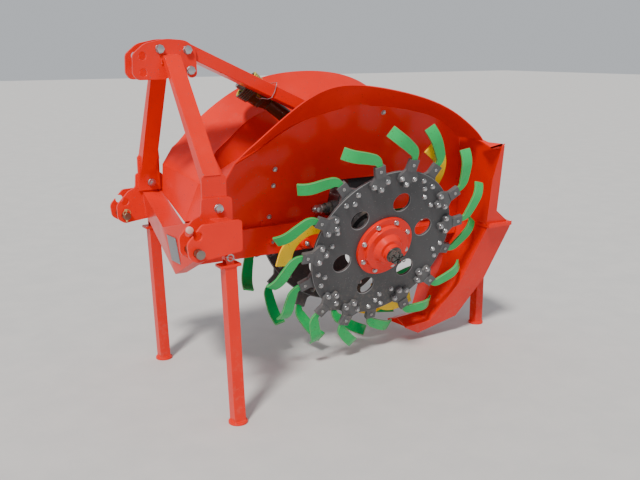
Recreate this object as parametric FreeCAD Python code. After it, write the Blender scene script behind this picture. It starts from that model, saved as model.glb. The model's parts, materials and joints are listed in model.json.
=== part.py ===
"""Double wheel rotary ditcher for a tractor's three-point linkage.

Two canted cutter wheels stand side by side under flared hoods and cut a V-shaped
ditch. A headstock, a bevel gearbox, a ditch shoe behind the wheels and three
folding parking stands make up the rest.

Millimetres. +X points forward to the tractor, +Y to the left and +Z up. The
origin is on the ground, under the middle of the machine.
"""

import FreeCAD
import Part
import math
import os

from FreeCAD import Vector

# Overall stance
FEET_X = 586.0
GROUND_Z = 0.0

# Cutter wheels: centre of the disc's outer face, and its cant from upright
ROTOR_X = FEET_X - 667.0
ROTOR_Y = 205.0
ROTOR_Z = 483.6
CANT = 19.26
WHEEL_PHASE = 12.0

# Disc
DISC_R = 302.0
DISC_T = 10.0
DISC_BORE_R = 45.0
DISC_HOLES = 6
DISC_HOLE_R = 37.0
DISC_HOLE_PCR = 178.0
DISC_HOLE_START = 12.3

# Knife holders
HOLDERS = 15
HOLDER_START = -41.8
HOLDER_BACK_EVERY = 3
HOLDER_T = 12.0
SOCKET_T = 16.0
SOCKET_HALF_W = 20.0
SOCKET_LENGTH = 40.0
SOCKET_INNER_R = DISC_R + 10.0
SOCKET_OUTER_R = SOCKET_INNER_R + SOCKET_LENGTH
FOOT_BOLT_R = DISC_R - 25.0
FOOT_BOLT_OFFSET = 28.0
FOOT_TOE_R = FOOT_BOLT_R - 22.0
FOOT_SHOULDER = 12.0
LUG_R = 13.0

# Knives: a flat strip that turns to the trailing side, its end curled inboard
KNIFE_T = 8.0
KNIFE_ROOT_R = SOCKET_OUTER_R
KNIFE_ROOT_W = 22.0
KNIFE_GRIP = 0.75 * SOCKET_LENGTH
KNIFE_END_W = 44.0
KNIFE_SHOULDER_W = 39.0
KNIFE_BEND_R = 40.0
KNIFE_SWEEP_R = 527.0
KNIFE_BEND_ANGLE = 57.0
KNIFE_END_ANGLE = 70.0
KNIFE_CURL_R = 85.0
KNIFE_CURL_ANGLE = 46.0

# Throwing paddles on the inboard side of each disc
PADDLES = 3
PADDLE_START = -76.5
PADDLE_T = 8.0
PADDLE_STANDOFF = 34.0
PADDLE_ROOT_R = DISC_R - 90.0
PADDLE_TURN_R = PADDLE_ROOT_R + 54.0
PADDLE_SHIFT = -14.0
PADDLE_BEND_R = 105.0
PADDLE_END_ANGLE = 98.0
PADDLE_STRAIGHT = 42.0
PADDLE_ROOT_W = 36.0
PADDLE_END_W = 56.0
PADDLE_BLOCK_L = 48.0
PADDLE_BLOCK_W = 68.0

# Hub and shaft
HUB_FLANGE_R = 118.0
HUB_FLANGE_T = 14.0
HUB_STEP_R = 88.0
HUB_STEP_H = 30.0
HUB_BOSS_R = 62.0
HUB_BOSS_H = 52.0
HUB_NECK_R = 30.0
HUB_NECK_H = 70.0
NUT_R = 26.0
NUT_H = 30.0
SHAFT_R = 28.0
SHAFT_IN = 150.0
HUB_BACK_R = 70.0
HUB_BACK_H = 24.0

# Running clearances
SHAFT_CLEARANCE = 0.05
SEAT_GAP = 0.3
RUNNING_GAP = 6.0

# Brace: its top edge in the X-Z plane, the slope as height over length
BRACE_FRONT_X = FEET_X + 12.0
BRACE_FRONT_TOP = 1213.0
BRACE_REAR_X = FEET_X - 790.0
BRACE_REAR_TOP = 850.9
BRACE_W = 60.0
BRACE_D = 42.0
BRACE_WALL = 4.0
BRACE_SLOPE = (BRACE_FRONT_TOP - BRACE_REAR_TOP) / (BRACE_FRONT_X - BRACE_REAR_X)
BRACE_HEIGHT = BRACE_D * math.hypot(1.0, BRACE_SLOPE)


def brace_line(x):
    """Height of the brace's middle line at x."""
    return BRACE_FRONT_TOP - (BRACE_FRONT_X - x) * BRACE_SLOPE - BRACE_HEIGHT / 2.0


# Gearbox and the axle housings that reach out from it
GEARBOX_HALF_X = 118.0
GEARBOX_HALF_Y = 82.0
GEARBOX_BOTTOM = 432.0
GEARBOX_TOP = 700.0
HOUSING_R = 62.0
HOUSING_FLANGE_R = 84.0
HOUSING_FLANGE_T = 14.0
SHOULDER_DROP = 40.0
SHOULDER_IN = 46.0
TOWER_HALF = 62.0
TOWER_GAP = 20.3
TOWER_TOP = brace_line(ROTOR_X + TOWER_HALF) - BRACE_HEIGHT / 2.0 - TOWER_GAP
TOWER_SLOPE = 2 * TOWER_HALF * BRACE_SLOPE
TOWER_HALF_Y = 58.0
INPUT_Z = TOWER_TOP - 44.0
INPUT_R = 18.0
INPUT_BOSS_R = 38.0
INPUT_BOSS_L = 18.0
INPUT_STUB_L = 54.0

# Drive shaft, tied up beside the brace
SHAFT_FRONT_X = FEET_X - 268.0
SHAFT_FRONT = (SHAFT_FRONT_X, -95.0, brace_line(SHAFT_FRONT_X))
SHAFT_REAR_GAP = 66.0
SHAFT_TUBE_R = 27.0
SHAFT_CORE_R = 20.0
SHAFT_CORE_GAP = 0.3
BELL_MOUTH_R = 52.0
BELL_THROAT_R = 42.0
BELL_L = 72.0
BELL_WALL = 3.0
YOKE_HUB_R = 30.0
YOKE_BORE_R = 17.5
YOKE_HUB_L = 50.0
COUPLER_R = 30.0
CROSS_R = 27.0

# Centre beam from the headstock to the gearbox
BEAM_HALF_W = 55.0
BEAM_TOP = 572.0
BEAM_BOTTOM = 468.0

# Headstock
HITCH_OUTER_Y = 372.0
HITCH_GAP = 59.0
HITCH_PLATE_T = 10.0
HITCH_HOLE_R = 14.4
HITCH_PIN_R = 14.0
HITCH_HOLE_X = FEET_X + 133.0
HITCH_HOLE_Z = 646.0
HITCH_PIN_X = FEET_X + 136.0
HITCH_PIN_Z = 596.0
HITCH_PIN_PROUD = 28.0
CROSS_TOP_END = 678.0
CROSS_BOTTOM_END = 582.0
CROSS_TOP_MID = 602.0
CROSS_TIP_Z = 432.0
TOP_PLATE_T = 10.0
TOP_HOLE_R = 12.9
TOP_HOLE_UPPER = (FEET_X + 158.0, BRACE_FRONT_TOP - 47.0)
TOP_HOLE_LOWER = (FEET_X + 157.0, BRACE_FRONT_TOP - 98.0)
POST_FOOT_TOP = CROSS_TOP_END + 134.0
POST_TOP = BRACE_FRONT_TOP - 45.0
POST_LEAN = 0.055
POST_T_BOTTOM = 40.0
POST_T_TOP = 20.0
POST_W = 56.0

# Hoods
HOOD_FRONT_STATIONS = 3
HOOD_PLATE_START = 3
HOOD_OFFSET = 190.0
HOOD_GEARBOX_GAP = 32.0
HOOD_T = 4.0
TIE_DEPTH = 55.0
TIE_HALF_H = 36.0

# Rear shoe and deflector, the deflector's bend line as (forward, up) in the wheel's plane
SHEET_T = 6.0
DEFLECTOR_RIM = [(-520.0, -60.0), (-511.0, -2.0), (-440.0, 228.0), (-408.0, 352.0)]
TOP_FLANGE_L = 58.0
JOINT_Z = 490.0
JOINT_T = 12.0
SPINE_T = 12.0
REAR_BEAM_HALF_W = 45.0
REAR_BEAM_BOTTOM = 440.0

# Stands
LEG_W = 40.0
LEG_WALL = 4.0
LEG_LEAN = 2.0
LEG_Y = HITCH_OUTER_Y - HITCH_PLATE_T - HITCH_GAP / 2.0
STAND_FRONT_X = FEET_X + 20.0
STAND_FRONT_PIN_Z = 562.0
STAND_REAR_X = FEET_X - 1331.0
STAND_REAR_PIN_Z = 462.0
STAND_PIN_R = 8.0
STAND_LUG_T = 20.0
STAND_FLANGE = (70.0, 46.0, 9.0)
STAND_NECK = 22.0
STAND_LUG_R = 15.0
STAND_CHEEK_R = 13.0
STAND_CHEEK_T = 7.0
FOOT_R = 32.0
FOOT_T = 8.0

CANT_RAD = math.radians(CANT)
COS_C = math.cos(CANT_RAD)
SIN_C = math.sin(CANT_RAD)


def unit(v):
    return v.multiply(1.0 / v.Length)


def box(x0, x1, y0, y1, z0, z1):
    return Part.makeBox(x1 - x0, y1 - y0, z1 - z0, Vector(x0, y0, z0))


def mirrored(shape):
    return shape.mirror(Vector(0, 0, 0), Vector(0, 1, 0))


def rounded_wire(corners, radius, place):
    """Closed wire through 2-D corners (u, v, own radius if given), rounded where the radius allows."""
    edges = []
    ends = []
    count = len(corners)
    for i in range(count):
        here = Vector(corners[i][0], corners[i][1], 0)
        before = Vector(corners[i - 1][0], corners[i - 1][1], 0) - here
        after = Vector(corners[(i + 1) % count][0], corners[(i + 1) % count][1], 0) - here
        r = corners[i][2] if len(corners[i]) > 2 else radius
        half = before.getAngle(after) / 2.0
        if r <= 0 or abs(half - math.pi / 2) < 0.01:
            ends.append((here, here, None))
            continue
        back = min(r / math.tan(half), 0.48 * before.Length, 0.48 * after.Length)
        r = back * math.tan(half)
        a = here + unit(before) * back
        b = here + unit(after) * back
        centre = here + unit(unit(before) + unit(after)) * (r / math.sin(half))
        ends.append((a, b, centre + unit(here - centre) * r))
    for i in range(count):
        a, b, mid = ends[i]
        if mid is not None:
            edges.append(Part.Arc(place(a), place(mid), place(b)).toShape())
        start = place(b)
        end = place(ends[(i + 1) % count][0])
        if start.distanceToPoint(end) > 1e-4:
            edges.append(Part.makeLine(start, end))
    return Part.Wire(edges)


def plate_xz(corners, y0, y1, radius=0.0):
    """Plate in the X-Z plane from y0 to y1."""
    wire = rounded_wire(corners, radius, lambda p: Vector(p.x, y0, p.y))
    return Part.Face(wire).extrude(Vector(0, y1 - y0, 0))


def plate_xy(corners, z0, z1, radius=0.0):
    """Plate in the X-Y plane from z0 to z1."""
    wire = rounded_wire(corners, radius, lambda p: Vector(p.x, p.y, z0))
    return Part.Face(wire).extrude(Vector(0, 0, z1 - z0))


def rod(start, axis, radius, length):
    return Part.makeCylinder(radius, length, start, axis)


def beam(start, end, half_y, half_d):
    """Straight rectangular bar along a line in the X-Z plane."""
    along = unit(end - start)
    side = Vector(0, 1, 0)
    up = side.cross(along) * -1.0
    corner = [start + side * half_y * a + up * half_d * b for a, b in ((1, 1), (-1, 1), (-1, -1), (1, -1))]
    wire = Part.makePolygon(corner + [corner[0]])
    return Part.Face(wire).extrude(end - start)


def fused(shapes):
    if len(shapes) == 1:
        return shapes[0]
    return shapes[0].fuse(shapes[1:]).removeSplitter()


def export(name, shape):
    shape.exportStep("parts/" + name + ".step")


def on_rotor(shape):
    """Move a shape from the left wheel's own frame: X forward, Y out along the shaft, Z up."""
    placed = shape.copy()
    placed.rotate(Vector(0, 0, 0), Vector(1, 0, 0), -CANT)
    placed.translate(Vector(ROTOR_X, ROTOR_Y, ROTOR_Z))
    return placed


def around(shape, angle):
    """Turn a shape made at the wheel's top to its place, the angle counted towards the rear."""
    turned = shape.copy()
    turned.rotate(Vector(0, 0, 0), Vector(0, 1, 0), -angle)
    return turned


def wheel_plate(corners, out0, out1, radius=0.0):
    """Plate parallel to the disc, its corners given as (trailing, radial)."""
    return plate_xz(corners, out0, out1, radius)


def make_disc():
    disc = rod(Vector(0, -DISC_T, 0), Vector(0, 1, 0), DISC_R, DISC_T)
    cuts = [rod(Vector(0, -2 * DISC_T, 0), Vector(0, 1, 0), DISC_BORE_R, 4 * DISC_T)]
    for k in range(DISC_HOLES):
        a = math.radians(DISC_HOLE_START + 360.0 / DISC_HOLES * k)
        spot = Vector(-DISC_HOLE_PCR * math.sin(a), -2 * DISC_T, DISC_HOLE_PCR * math.cos(a))
        cuts.append(rod(spot, Vector(0, 1, 0), DISC_HOLE_R, 4 * DISC_T))
    return disc.cut(cuts)


def is_back_holder(k):
    return k % HOLDER_BACK_EVERY == 0


def holder_base(k):
    """Face of the disc that holder k is bolted to, and the way its thickness grows."""
    return (-DISC_T, -1.0) if is_back_holder(k) else (0.0, 1.0)


def make_holder(base, way):
    """Forked foot with three bolt lugs and the socket that grips the knife."""
    foot = wheel_plate(
        [
            (-SOCKET_HALF_W, SOCKET_OUTER_R, 3),
            (SOCKET_HALF_W, SOCKET_OUTER_R, 3),
            (SOCKET_HALF_W + 1, SOCKET_INNER_R, 10),
            (FOOT_BOLT_OFFSET + LUG_R, FOOT_BOLT_R + FOOT_SHOULDER, 8),
            (FOOT_BOLT_OFFSET + LUG_R, FOOT_BOLT_R - LUG_R, 10),
            (FOOT_BOLT_OFFSET - LUG_R, FOOT_BOLT_R - LUG_R, 6),
            (LUG_R, FOOT_TOE_R - LUG_R, 8),
            (-LUG_R, FOOT_TOE_R - LUG_R, 8),
            (-FOOT_BOLT_OFFSET + LUG_R, FOOT_BOLT_R - LUG_R, 6),
            (-FOOT_BOLT_OFFSET - LUG_R, FOOT_BOLT_R - LUG_R, 10),
            (-FOOT_BOLT_OFFSET - LUG_R, FOOT_BOLT_R + FOOT_SHOULDER, 8),
            (-SOCKET_HALF_W - 1, SOCKET_INNER_R, 10),
        ],
        min(base, base + way * HOLDER_T),
        max(base, base + way * HOLDER_T),
    )
    socket = wheel_plate(
        [
            (-SOCKET_HALF_W, SOCKET_OUTER_R, 2),
            (SOCKET_HALF_W, SOCKET_OUTER_R, 2),
            (SOCKET_HALF_W, SOCKET_INNER_R - 4, 2),
            (-SOCKET_HALF_W, SOCKET_INNER_R - 4, 2),
        ],
        min(base, base + way * SOCKET_T),
        max(base, base + way * SOCKET_T),
    )
    slot_mid = base + way * (SOCKET_T / 2.0)
    slot = box(
        -KNIFE_ROOT_W / 2.0, KNIFE_ROOT_W / 2.0,
        slot_mid - KNIFE_T / 2.0, slot_mid + KNIFE_T / 2.0,
        KNIFE_ROOT_R - KNIFE_GRIP, SOCKET_OUTER_R + 10.0,
    )
    return fused([foot, socket]).cut(slot)


def make_knife(base, way):
    """Strip with an in-plane bend to the trailing side and an end curled inboard."""
    mid = base + way * (SOCKET_T / 2.0)
    bend = math.radians(KNIFE_BEND_ANGLE)
    end = math.radians(KNIFE_END_ANGLE)
    turn = Vector(KNIFE_BEND_R, 0, KNIFE_ROOT_R)
    knee = Vector(
        KNIFE_BEND_R * (1 - math.cos(bend)), 0,
        KNIFE_ROOT_R + KNIFE_BEND_R * math.sin(bend),
    )
    sweep = knee + Vector(math.cos(bend), 0, -math.sin(bend)) * KNIFE_SWEEP_R

    def on_sweep(angle, offset):
        out = Vector(-math.cos(angle), 0, math.sin(angle))
        return sweep + out * (KNIFE_SWEEP_R + offset)

    def on_turn(angle, offset):
        out = Vector(-math.cos(angle), 0, math.sin(angle))
        return turn + out * (KNIFE_BEND_R + offset)

    half0 = KNIFE_ROOT_W / 2.0
    half1 = KNIFE_END_W / 2.0
    shoulder = KNIFE_SHOULDER_W / 2.0
    halfway = (shoulder + half1) / 2.0
    reach = KNIFE_CURL_R * math.sin(math.radians(KNIFE_CURL_ANGLE))
    last = end - reach / KNIFE_SWEEP_R
    middle = (bend + last) / 2.0
    arc_mid = (half0 + shoulder) / 2.0

    root = KNIFE_ROOT_R - KNIFE_GRIP
    outline = [
        Part.makeLine(Vector(half0, 0, root), Vector(-half0, 0, root)),
        Part.makeLine(Vector(-half0, 0, root), on_turn(0.0, half0)),
        Part.Arc(on_turn(0.0, half0), on_turn(bend / 2.0, arc_mid), on_turn(bend, shoulder)).toShape(),
        Part.Arc(on_turn(bend, shoulder), on_sweep(middle, halfway), on_sweep(last, half1)).toShape(),
        Part.makeLine(on_sweep(last, half1), on_sweep(last, -half1)),
        Part.Arc(on_sweep(last, -half1), on_sweep(middle, -halfway), on_turn(bend, -shoulder)).toShape(),
        Part.Arc(on_turn(bend, -shoulder), on_turn(bend / 2.0, -arc_mid), on_turn(0.0, -half0)).toShape(),
        Part.makeLine(on_turn(0.0, -half0), Vector(half0, 0, root)),
    ]
    strip = Part.Face(Part.Wire(outline)).extrude(Vector(0, KNIFE_T, 0))

    across = Vector(-math.cos(last), 0, math.sin(last))
    thick = Vector(0, KNIFE_T, 0)
    low = on_sweep(last, -half1)
    high = on_sweep(last, half1)
    section = Part.Face(Part.makePolygon([low, high, high + thick, low + thick, low]))
    centre = on_sweep(last, 0.0) + Vector(0, KNIFE_T / 2.0 - KNIFE_CURL_R, 0)
    curl = section.revolve(centre, across * -1.0, KNIFE_CURL_ANGLE)
    knife = fused([strip, curl])
    knife.translate(Vector(0, mid - KNIFE_T / 2.0, 0))
    return knife


def make_paddle():
    """Wide curved arm on a stand-off block behind the disc."""
    face = -DISC_T - PADDLE_STANDOFF
    end = math.radians(PADDLE_END_ANGLE)
    turn = Vector(PADDLE_BEND_R, 0, PADDLE_TURN_R)

    def on_turn(angle, offset):
        out = Vector(-math.cos(angle), 0, math.sin(angle))
        return turn + out * (PADDLE_BEND_R + offset)

    half0 = PADDLE_ROOT_W / 2.0
    half1 = PADDLE_END_W / 2.0
    mid = (half0 + half1) / 2.0
    along = Vector(math.sin(end), 0, math.cos(end))
    outer_end = on_turn(end, half1) + along * PADDLE_STRAIGHT
    inner_end = on_turn(end, -half1) + along * PADDLE_STRAIGHT
    low_outer = Vector(-half0, 0, PADDLE_ROOT_R)
    low_inner = Vector(half0, 0, PADDLE_ROOT_R)
    outline = [
        Part.makeLine(low_inner, low_outer),
        Part.makeLine(low_outer, on_turn(0.0, half0)),
        Part.Arc(on_turn(0.0, half0), on_turn(end / 2.0, mid), on_turn(end, half1)).toShape(),
        Part.makeLine(on_turn(end, half1), outer_end),
        Part.makeLine(outer_end, inner_end),
        Part.makeLine(inner_end, on_turn(end, -half1)),
        Part.Arc(on_turn(end, -half1), on_turn(end / 2.0, -mid), on_turn(0.0, -half0)).toShape(),
        Part.makeLine(on_turn(0.0, -half0), low_inner),
    ]
    arm = Part.Face(Part.Wire(outline)).extrude(Vector(0, -PADDLE_T, 0))
    arm.translate(Vector(PADDLE_SHIFT, face, 0))
    wide = PADDLE_BLOCK_W / 2.0
    block = plate_xz(
        [
            (-wide, PADDLE_ROOT_R - 4, 8), (wide, PADDLE_ROOT_R - 4, 8),
            (wide - 4, PADDLE_ROOT_R - 4 + PADDLE_BLOCK_L, 8), (4 - wide, PADDLE_ROOT_R - 4 + PADDLE_BLOCK_L, 8),
        ],
        face, -DISC_T,
    )
    return fused([arm, block])


def make_hub():
    """Flanged hub, its stepped cap, the shaft and the slotted nut on its end."""
    up = Vector(0, 1, 0)
    flange = rod(Vector(0, 0, 0), up, HUB_FLANGE_R, HUB_FLANGE_T)
    step = Part.makeCone(HUB_STEP_R + 6, HUB_STEP_R, HUB_STEP_H, Vector(0, 0, 0), up)
    boss = Part.makeCone(HUB_STEP_R - 8, HUB_BOSS_R - 14, HUB_BOSS_H, Vector(0, 0, 0), up)
    neck = rod(Vector(0, 0, 0), up, HUB_NECK_R + 4, HUB_NECK_H)
    back = rod(Vector(0, -DISC_T - HUB_BACK_H, 0), up, HUB_BACK_R, HUB_BACK_H)
    spigot = rod(Vector(0, -DISC_T, 0), up, DISC_BORE_R, DISC_T)
    shaft = rod(Vector(0, -SHAFT_IN, 0), up, SHAFT_R, SHAFT_IN)
    return fused([flange, step, boss, neck, back, spigot, shaft])


def make_nut():
    nut = Part.Face(Part.makePolygon([
        Vector((NUT_R + 2) * math.cos(math.radians(60 * k)), HUB_NECK_H, (NUT_R + 2) * math.sin(math.radians(60 * k)))
        for k in range(7)
    ])).extrude(Vector(0, NUT_H * 0.6, 0))
    crown = rod(Vector(0, HUB_NECK_H, 0), Vector(0, 1, 0), NUT_R - 2, NUT_H)
    slots = [
        around(box(-3, 3, HUB_NECK_H + NUT_H * 0.62, HUB_NECK_H + NUT_H + 1, -NUT_R, NUT_R), 60.0 * k)
        for k in range(3)
    ]
    return fused([nut, crown]).cut(slots)


def make_wheel():
    """All pieces of the left wheel, by name, in the wheel's own frame."""
    holders = []
    knives = []
    for k in range(HOLDERS):
        base, way = holder_base(k)
        angle = HOLDER_START + 360.0 / HOLDERS * k
        holders.append(around(make_holder(base, way), angle))
        knives.append(around(make_knife(base, way), angle))
    paddles = [around(make_paddle(), PADDLE_START + 360.0 / PADDLES * k) for k in range(PADDLES)]
    pieces = {
        "disc": make_disc(),
        "hub": make_hub(),
        "shaft_nut": make_nut(),
        "knife_holders": Part.Compound(holders),
        "knives": Part.Compound(knives),
        "paddles": Part.Compound(paddles),
    }
    return pieces


def shaft_bore():
    """Room for the wheel's shaft, from the disc inboard."""
    depth = SHAFT_IN + SEAT_GAP
    return on_rotor(rod(Vector(0, -depth, 0), Vector(0, 1, 0), SHAFT_R + SHAFT_CLEARANCE, depth))


def make_housing():
    """Axle housing from the gearbox to just behind the wheel's hub."""
    up = Vector(0, 1, 0)
    outer_end = -DISC_T - HUB_BACK_H - RUNNING_GAP
    inner_end = -230.0
    body = rod(Vector(0, inner_end, 0), up, HOUSING_R, outer_end - inner_end)
    rim = rod(Vector(0, outer_end - 16.0, 0), up, HOUSING_R + 8.0, 16.0)
    flange = rod(Vector(0, -118.0, 0), up, HOUSING_FLANGE_R, HOUSING_FLANGE_T)
    return on_rotor(fused([body, rim, flange])).cut(shaft_bore())


def make_gearbox():
    """Closed casting: lower block, shoulders and a tower with the input boss."""
    x0 = ROTOR_X - GEARBOX_HALF_X
    x1 = ROTOR_X + GEARBOX_HALF_X
    shoulder = GEARBOX_TOP - SHOULDER_DROP
    section = [
        (x0, GEARBOX_BOTTOM, 22), (x1, GEARBOX_BOTTOM, 22), (x1, shoulder, 22),
        (x1 - SHOULDER_IN, GEARBOX_TOP, 14), (ROTOR_X + TOWER_HALF, TOWER_TOP, 10),
        (ROTOR_X - TOWER_HALF, TOWER_TOP - TOWER_SLOPE, 14), (x0 + SHOULDER_IN, GEARBOX_TOP, 14), (x0, shoulder, 22),
    ]
    block = plate_xz(section, -GEARBOX_HALF_Y, GEARBOX_HALF_Y)
    across = [
        (-GEARBOX_HALF_Y, GEARBOX_BOTTOM, 16), (GEARBOX_HALF_Y, GEARBOX_BOTTOM, 16), (GEARBOX_HALF_Y, shoulder, 30),
        (TOWER_HALF_Y, TOWER_TOP, 12), (-TOWER_HALF_Y, TOWER_TOP, 12), (-GEARBOX_HALF_Y, shoulder, 30),
    ]
    wire = rounded_wire(across, 0.0, lambda p: Vector(x0, p.x, p.y))
    block = block.common(Part.Face(wire).extrude(Vector(x1 - x0, 0, 0)))
    tower_front = Vector(ROTOR_X + TOWER_HALF, 0, INPUT_Z)
    boss = rod(tower_front - Vector(20, 0, 0), Vector(1, 0, 0), INPUT_BOSS_R, 20 + INPUT_BOSS_L)
    stub = rod(tower_front, Vector(1, 0, 0), INPUT_R, INPUT_STUB_L)
    bores = [shaft_bore(), mirrored(shaft_bore())]
    return fused([block, boss, stub]).cut(bores)


def hood_stations(raised):
    """Inner (crease) and outer (free edge) points of the flared rim, from the front seam to the rear.

    Columns: crease x, y, z, free edge x, y, z, with x counted from the front feet, and the height that the
    raised hood's free edge has over the other one's.
    """
    rows = [
        (21, 0, 611, -2, 262, 672, 0),
        (-35, 0, 738, -7, 262, 776, 0),
        (-115, 62, 800, -45, 262, 834, 0),
        (-192, 118, 856, -110, 264, 888, 6),
        (-265, 143, 905, -192, 268, 950, 12),
        (-337, 161, 943, -290, 268, 1015, 10),
        (-430, 172, 970, -400, 268, 1060, 12),
        (-560, 180, 990, -541, 265, 1064, 33),
        (-692, 179, 985, -690, 262, 1040, 57),
        (-800, 172, 968, -823, 262, 1006, 66),
        (-903, 164, 943, -930, 262, 962, 58),
        (-1000, 149, 900, -1020, 262, 905, 34),
        (-1070, 133, 854, -1082, 262, 847, 0),
    ]
    inner = [Vector(FEET_X + r[0], r[1], r[2]) for r in rows]
    outer = [Vector(FEET_X + r[3], r[4], r[5] + (r[6] if raised else 0)) for r in rows]
    return inner, outer


def make_hood(raised):
    """Flat plate parallel to the wheel, with the flared rim round its front, top and rear."""
    inner, outer = hood_stations(raised)
    wires = []
    last = len(inner) - 1
    for i in range(len(inner)):
        ahead = inner[min(i + 1, last)] + outer[min(i + 1, last)]
        behind = inner[max(i - 1, 0)] + outer[max(i - 1, 0)]
        normal = unit((outer[i] - inner[i]).cross(ahead - behind)) * HOOD_T
        if normal.z < 0:
            normal = normal * -1.0
        ring = [inner[i], outer[i], outer[i] + normal, inner[i] + normal]
        wires.append(Part.makePolygon(ring + [ring[0]]))
    front = Part.makeLoft(wires[:HOOD_FRONT_STATIONS], True, True)
    sweep = Part.makeLoft(wires[HOOD_FRONT_STATIONS - 1:], True, False)
    rim = fused([front, sweep]).cut(box(-2000, 2000, -500, SEAT_GAP / 2, 0, 2000))

    crease = [
        Vector(p.x - ROTOR_X, -HOOD_OFFSET, (p.y - ROTOR_Y) * SIN_C + (p.z - ROTOR_Z) * COS_C + HOOD_T / 2)
        for p in inner[HOOD_PLATE_START:]
    ]
    bend = Part.BSplineCurve()
    bend.interpolate(crease)
    opening = GEARBOX_HALF_X + HOOD_GEARBOX_GAP
    corners = [(fw - SHEET_T, up) for fw, up in DEFLECTOR_RIM[::-1] if up < 300] + [
        (-opening, -10), (-opening, 150), (35 - opening, 185), (opening - 35, 185), (opening, 150), (opening, -10),
        (670, -10), (670, 20), (676, 84), (645, 214), (560, 276),
    ]
    straight = [crease[-1]] + [Vector(fw, -HOOD_OFFSET, up) for fw, up in corners] + [crease[0]]
    outline = Part.Wire([bend.toShape()] + Part.makePolygon(straight).Edges)
    plate = on_rotor(Part.Face(outline).extrude(Vector(0, -HOOD_T, 0)))
    plate = plate.cut(box(-2000, 2000, -500, 500, 0, BEAM_TOP))
    return fused([rim, plate])


def make_clevis():
    """Two hitch plates welded to the end box, the inner one with an ear for the post."""
    y1 = HITCH_OUTER_Y
    y0 = y1 - HITCH_PLATE_T
    inner_y1 = y0 - HITCH_GAP
    inner_y0 = inner_y1 - HITCH_PLATE_T
    nose = [
        (FEET_X - 13, 584, 10), (FEET_X + 100, 571, 20), (FEET_X + 139, 566, 24), (FEET_X + 163, 582, 24),
    ]
    outer = plate_xz(
        nose + [(FEET_X + 168, 626, 24), (FEET_X + 118, 680, 24), (FEET_X - 13, 683, 12)],
        y0, y1,
    )
    inner = plate_xz(
        nose + [
            (FEET_X + 165, 634, 26), (FEET_X + 120, 682, 16), (FEET_X + 92, 694, 14),
            (FEET_X + 88, 746, 10), (FEET_X - 14, 743, 12),
        ],
        inner_y0, inner_y1,
    )
    end_box = box(FEET_X + 6, FEET_X + 64, inner_y1, y0, CROSS_BOTTOM_END, CROSS_TOP_END)
    lug = stand_lug(STAND_FRONT_X, LEG_Y, STAND_FRONT_PIN_Z, CROSS_BOTTOM_END)
    body = fused([outer, inner, end_box, lug])
    along = Vector(0, 1, 0)
    cuts = [
        rod(Vector(HITCH_HOLE_X, inner_y0 - 5, HITCH_HOLE_Z), along, HITCH_HOLE_R, 100),
        rod(Vector(HITCH_PIN_X, inner_y0 - 5, HITCH_PIN_Z), along, HITCH_PIN_R + SHAFT_CLEARANCE, 100),
        rod(Vector(STAND_FRONT_X, LEG_Y - 20, STAND_FRONT_PIN_Z), along, STAND_PIN_R + SHAFT_CLEARANCE, 40),
    ]
    return body.cut(cuts)


def stand_lug(x, y, pin_z, seat_z):
    """Strap with a round end that hangs from a seat and carries a stand's pin."""
    r = STAND_LUG_R
    corners = [
        (x - r, seat_z + 4, 0), (x + r, seat_z + 4, 0),
        (x + r, pin_z - r, r - 0.1), (x - r, pin_z - r, r - 0.1),
    ]
    return plate_xz(corners, y - STAND_LUG_T / 2, y + STAND_LUG_T / 2)


def make_hitch_pin():
    start = HITCH_OUTER_Y - 2 * HITCH_PLATE_T - HITCH_GAP - HITCH_PIN_PROUD
    length = HITCH_OUTER_Y + HITCH_PIN_PROUD - start
    pin = rod(Vector(HITCH_PIN_X, start, HITCH_PIN_Z), Vector(0, 1, 0), HITCH_PIN_R, length)
    return pin.makeChamfer(2.0, [e for e in pin.Edges if e.Closed])


def make_cross_beam():
    """Box beam that deepens to a nose at the middle."""
    end_y = HITCH_OUTER_Y - 2 * HITCH_PLATE_T - HITCH_GAP
    end = [
        Vector(FEET_X + 66, end_y, CROSS_TOP_END), Vector(FEET_X + 55, end_y, CROSS_BOTTOM_END),
        Vector(FEET_X - 2, end_y, CROSS_BOTTOM_END), Vector(FEET_X - 7, end_y, CROSS_TOP_END - 2),
    ]
    mid = [
        Vector(FEET_X + 103, 0, CROSS_TOP_MID), Vector(FEET_X + 66, 0, CROSS_TIP_Z),
        Vector(FEET_X + 24, 0, CROSS_TIP_Z), Vector(FEET_X + 24, 0, CROSS_TOP_MID - 3),
    ]
    wires = [Part.makePolygon(ring + [ring[0]]) for ring in (mid, end)]
    half = Part.makeLoft(wires, True, True)
    return half.fuse(mirrored(half))


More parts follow.
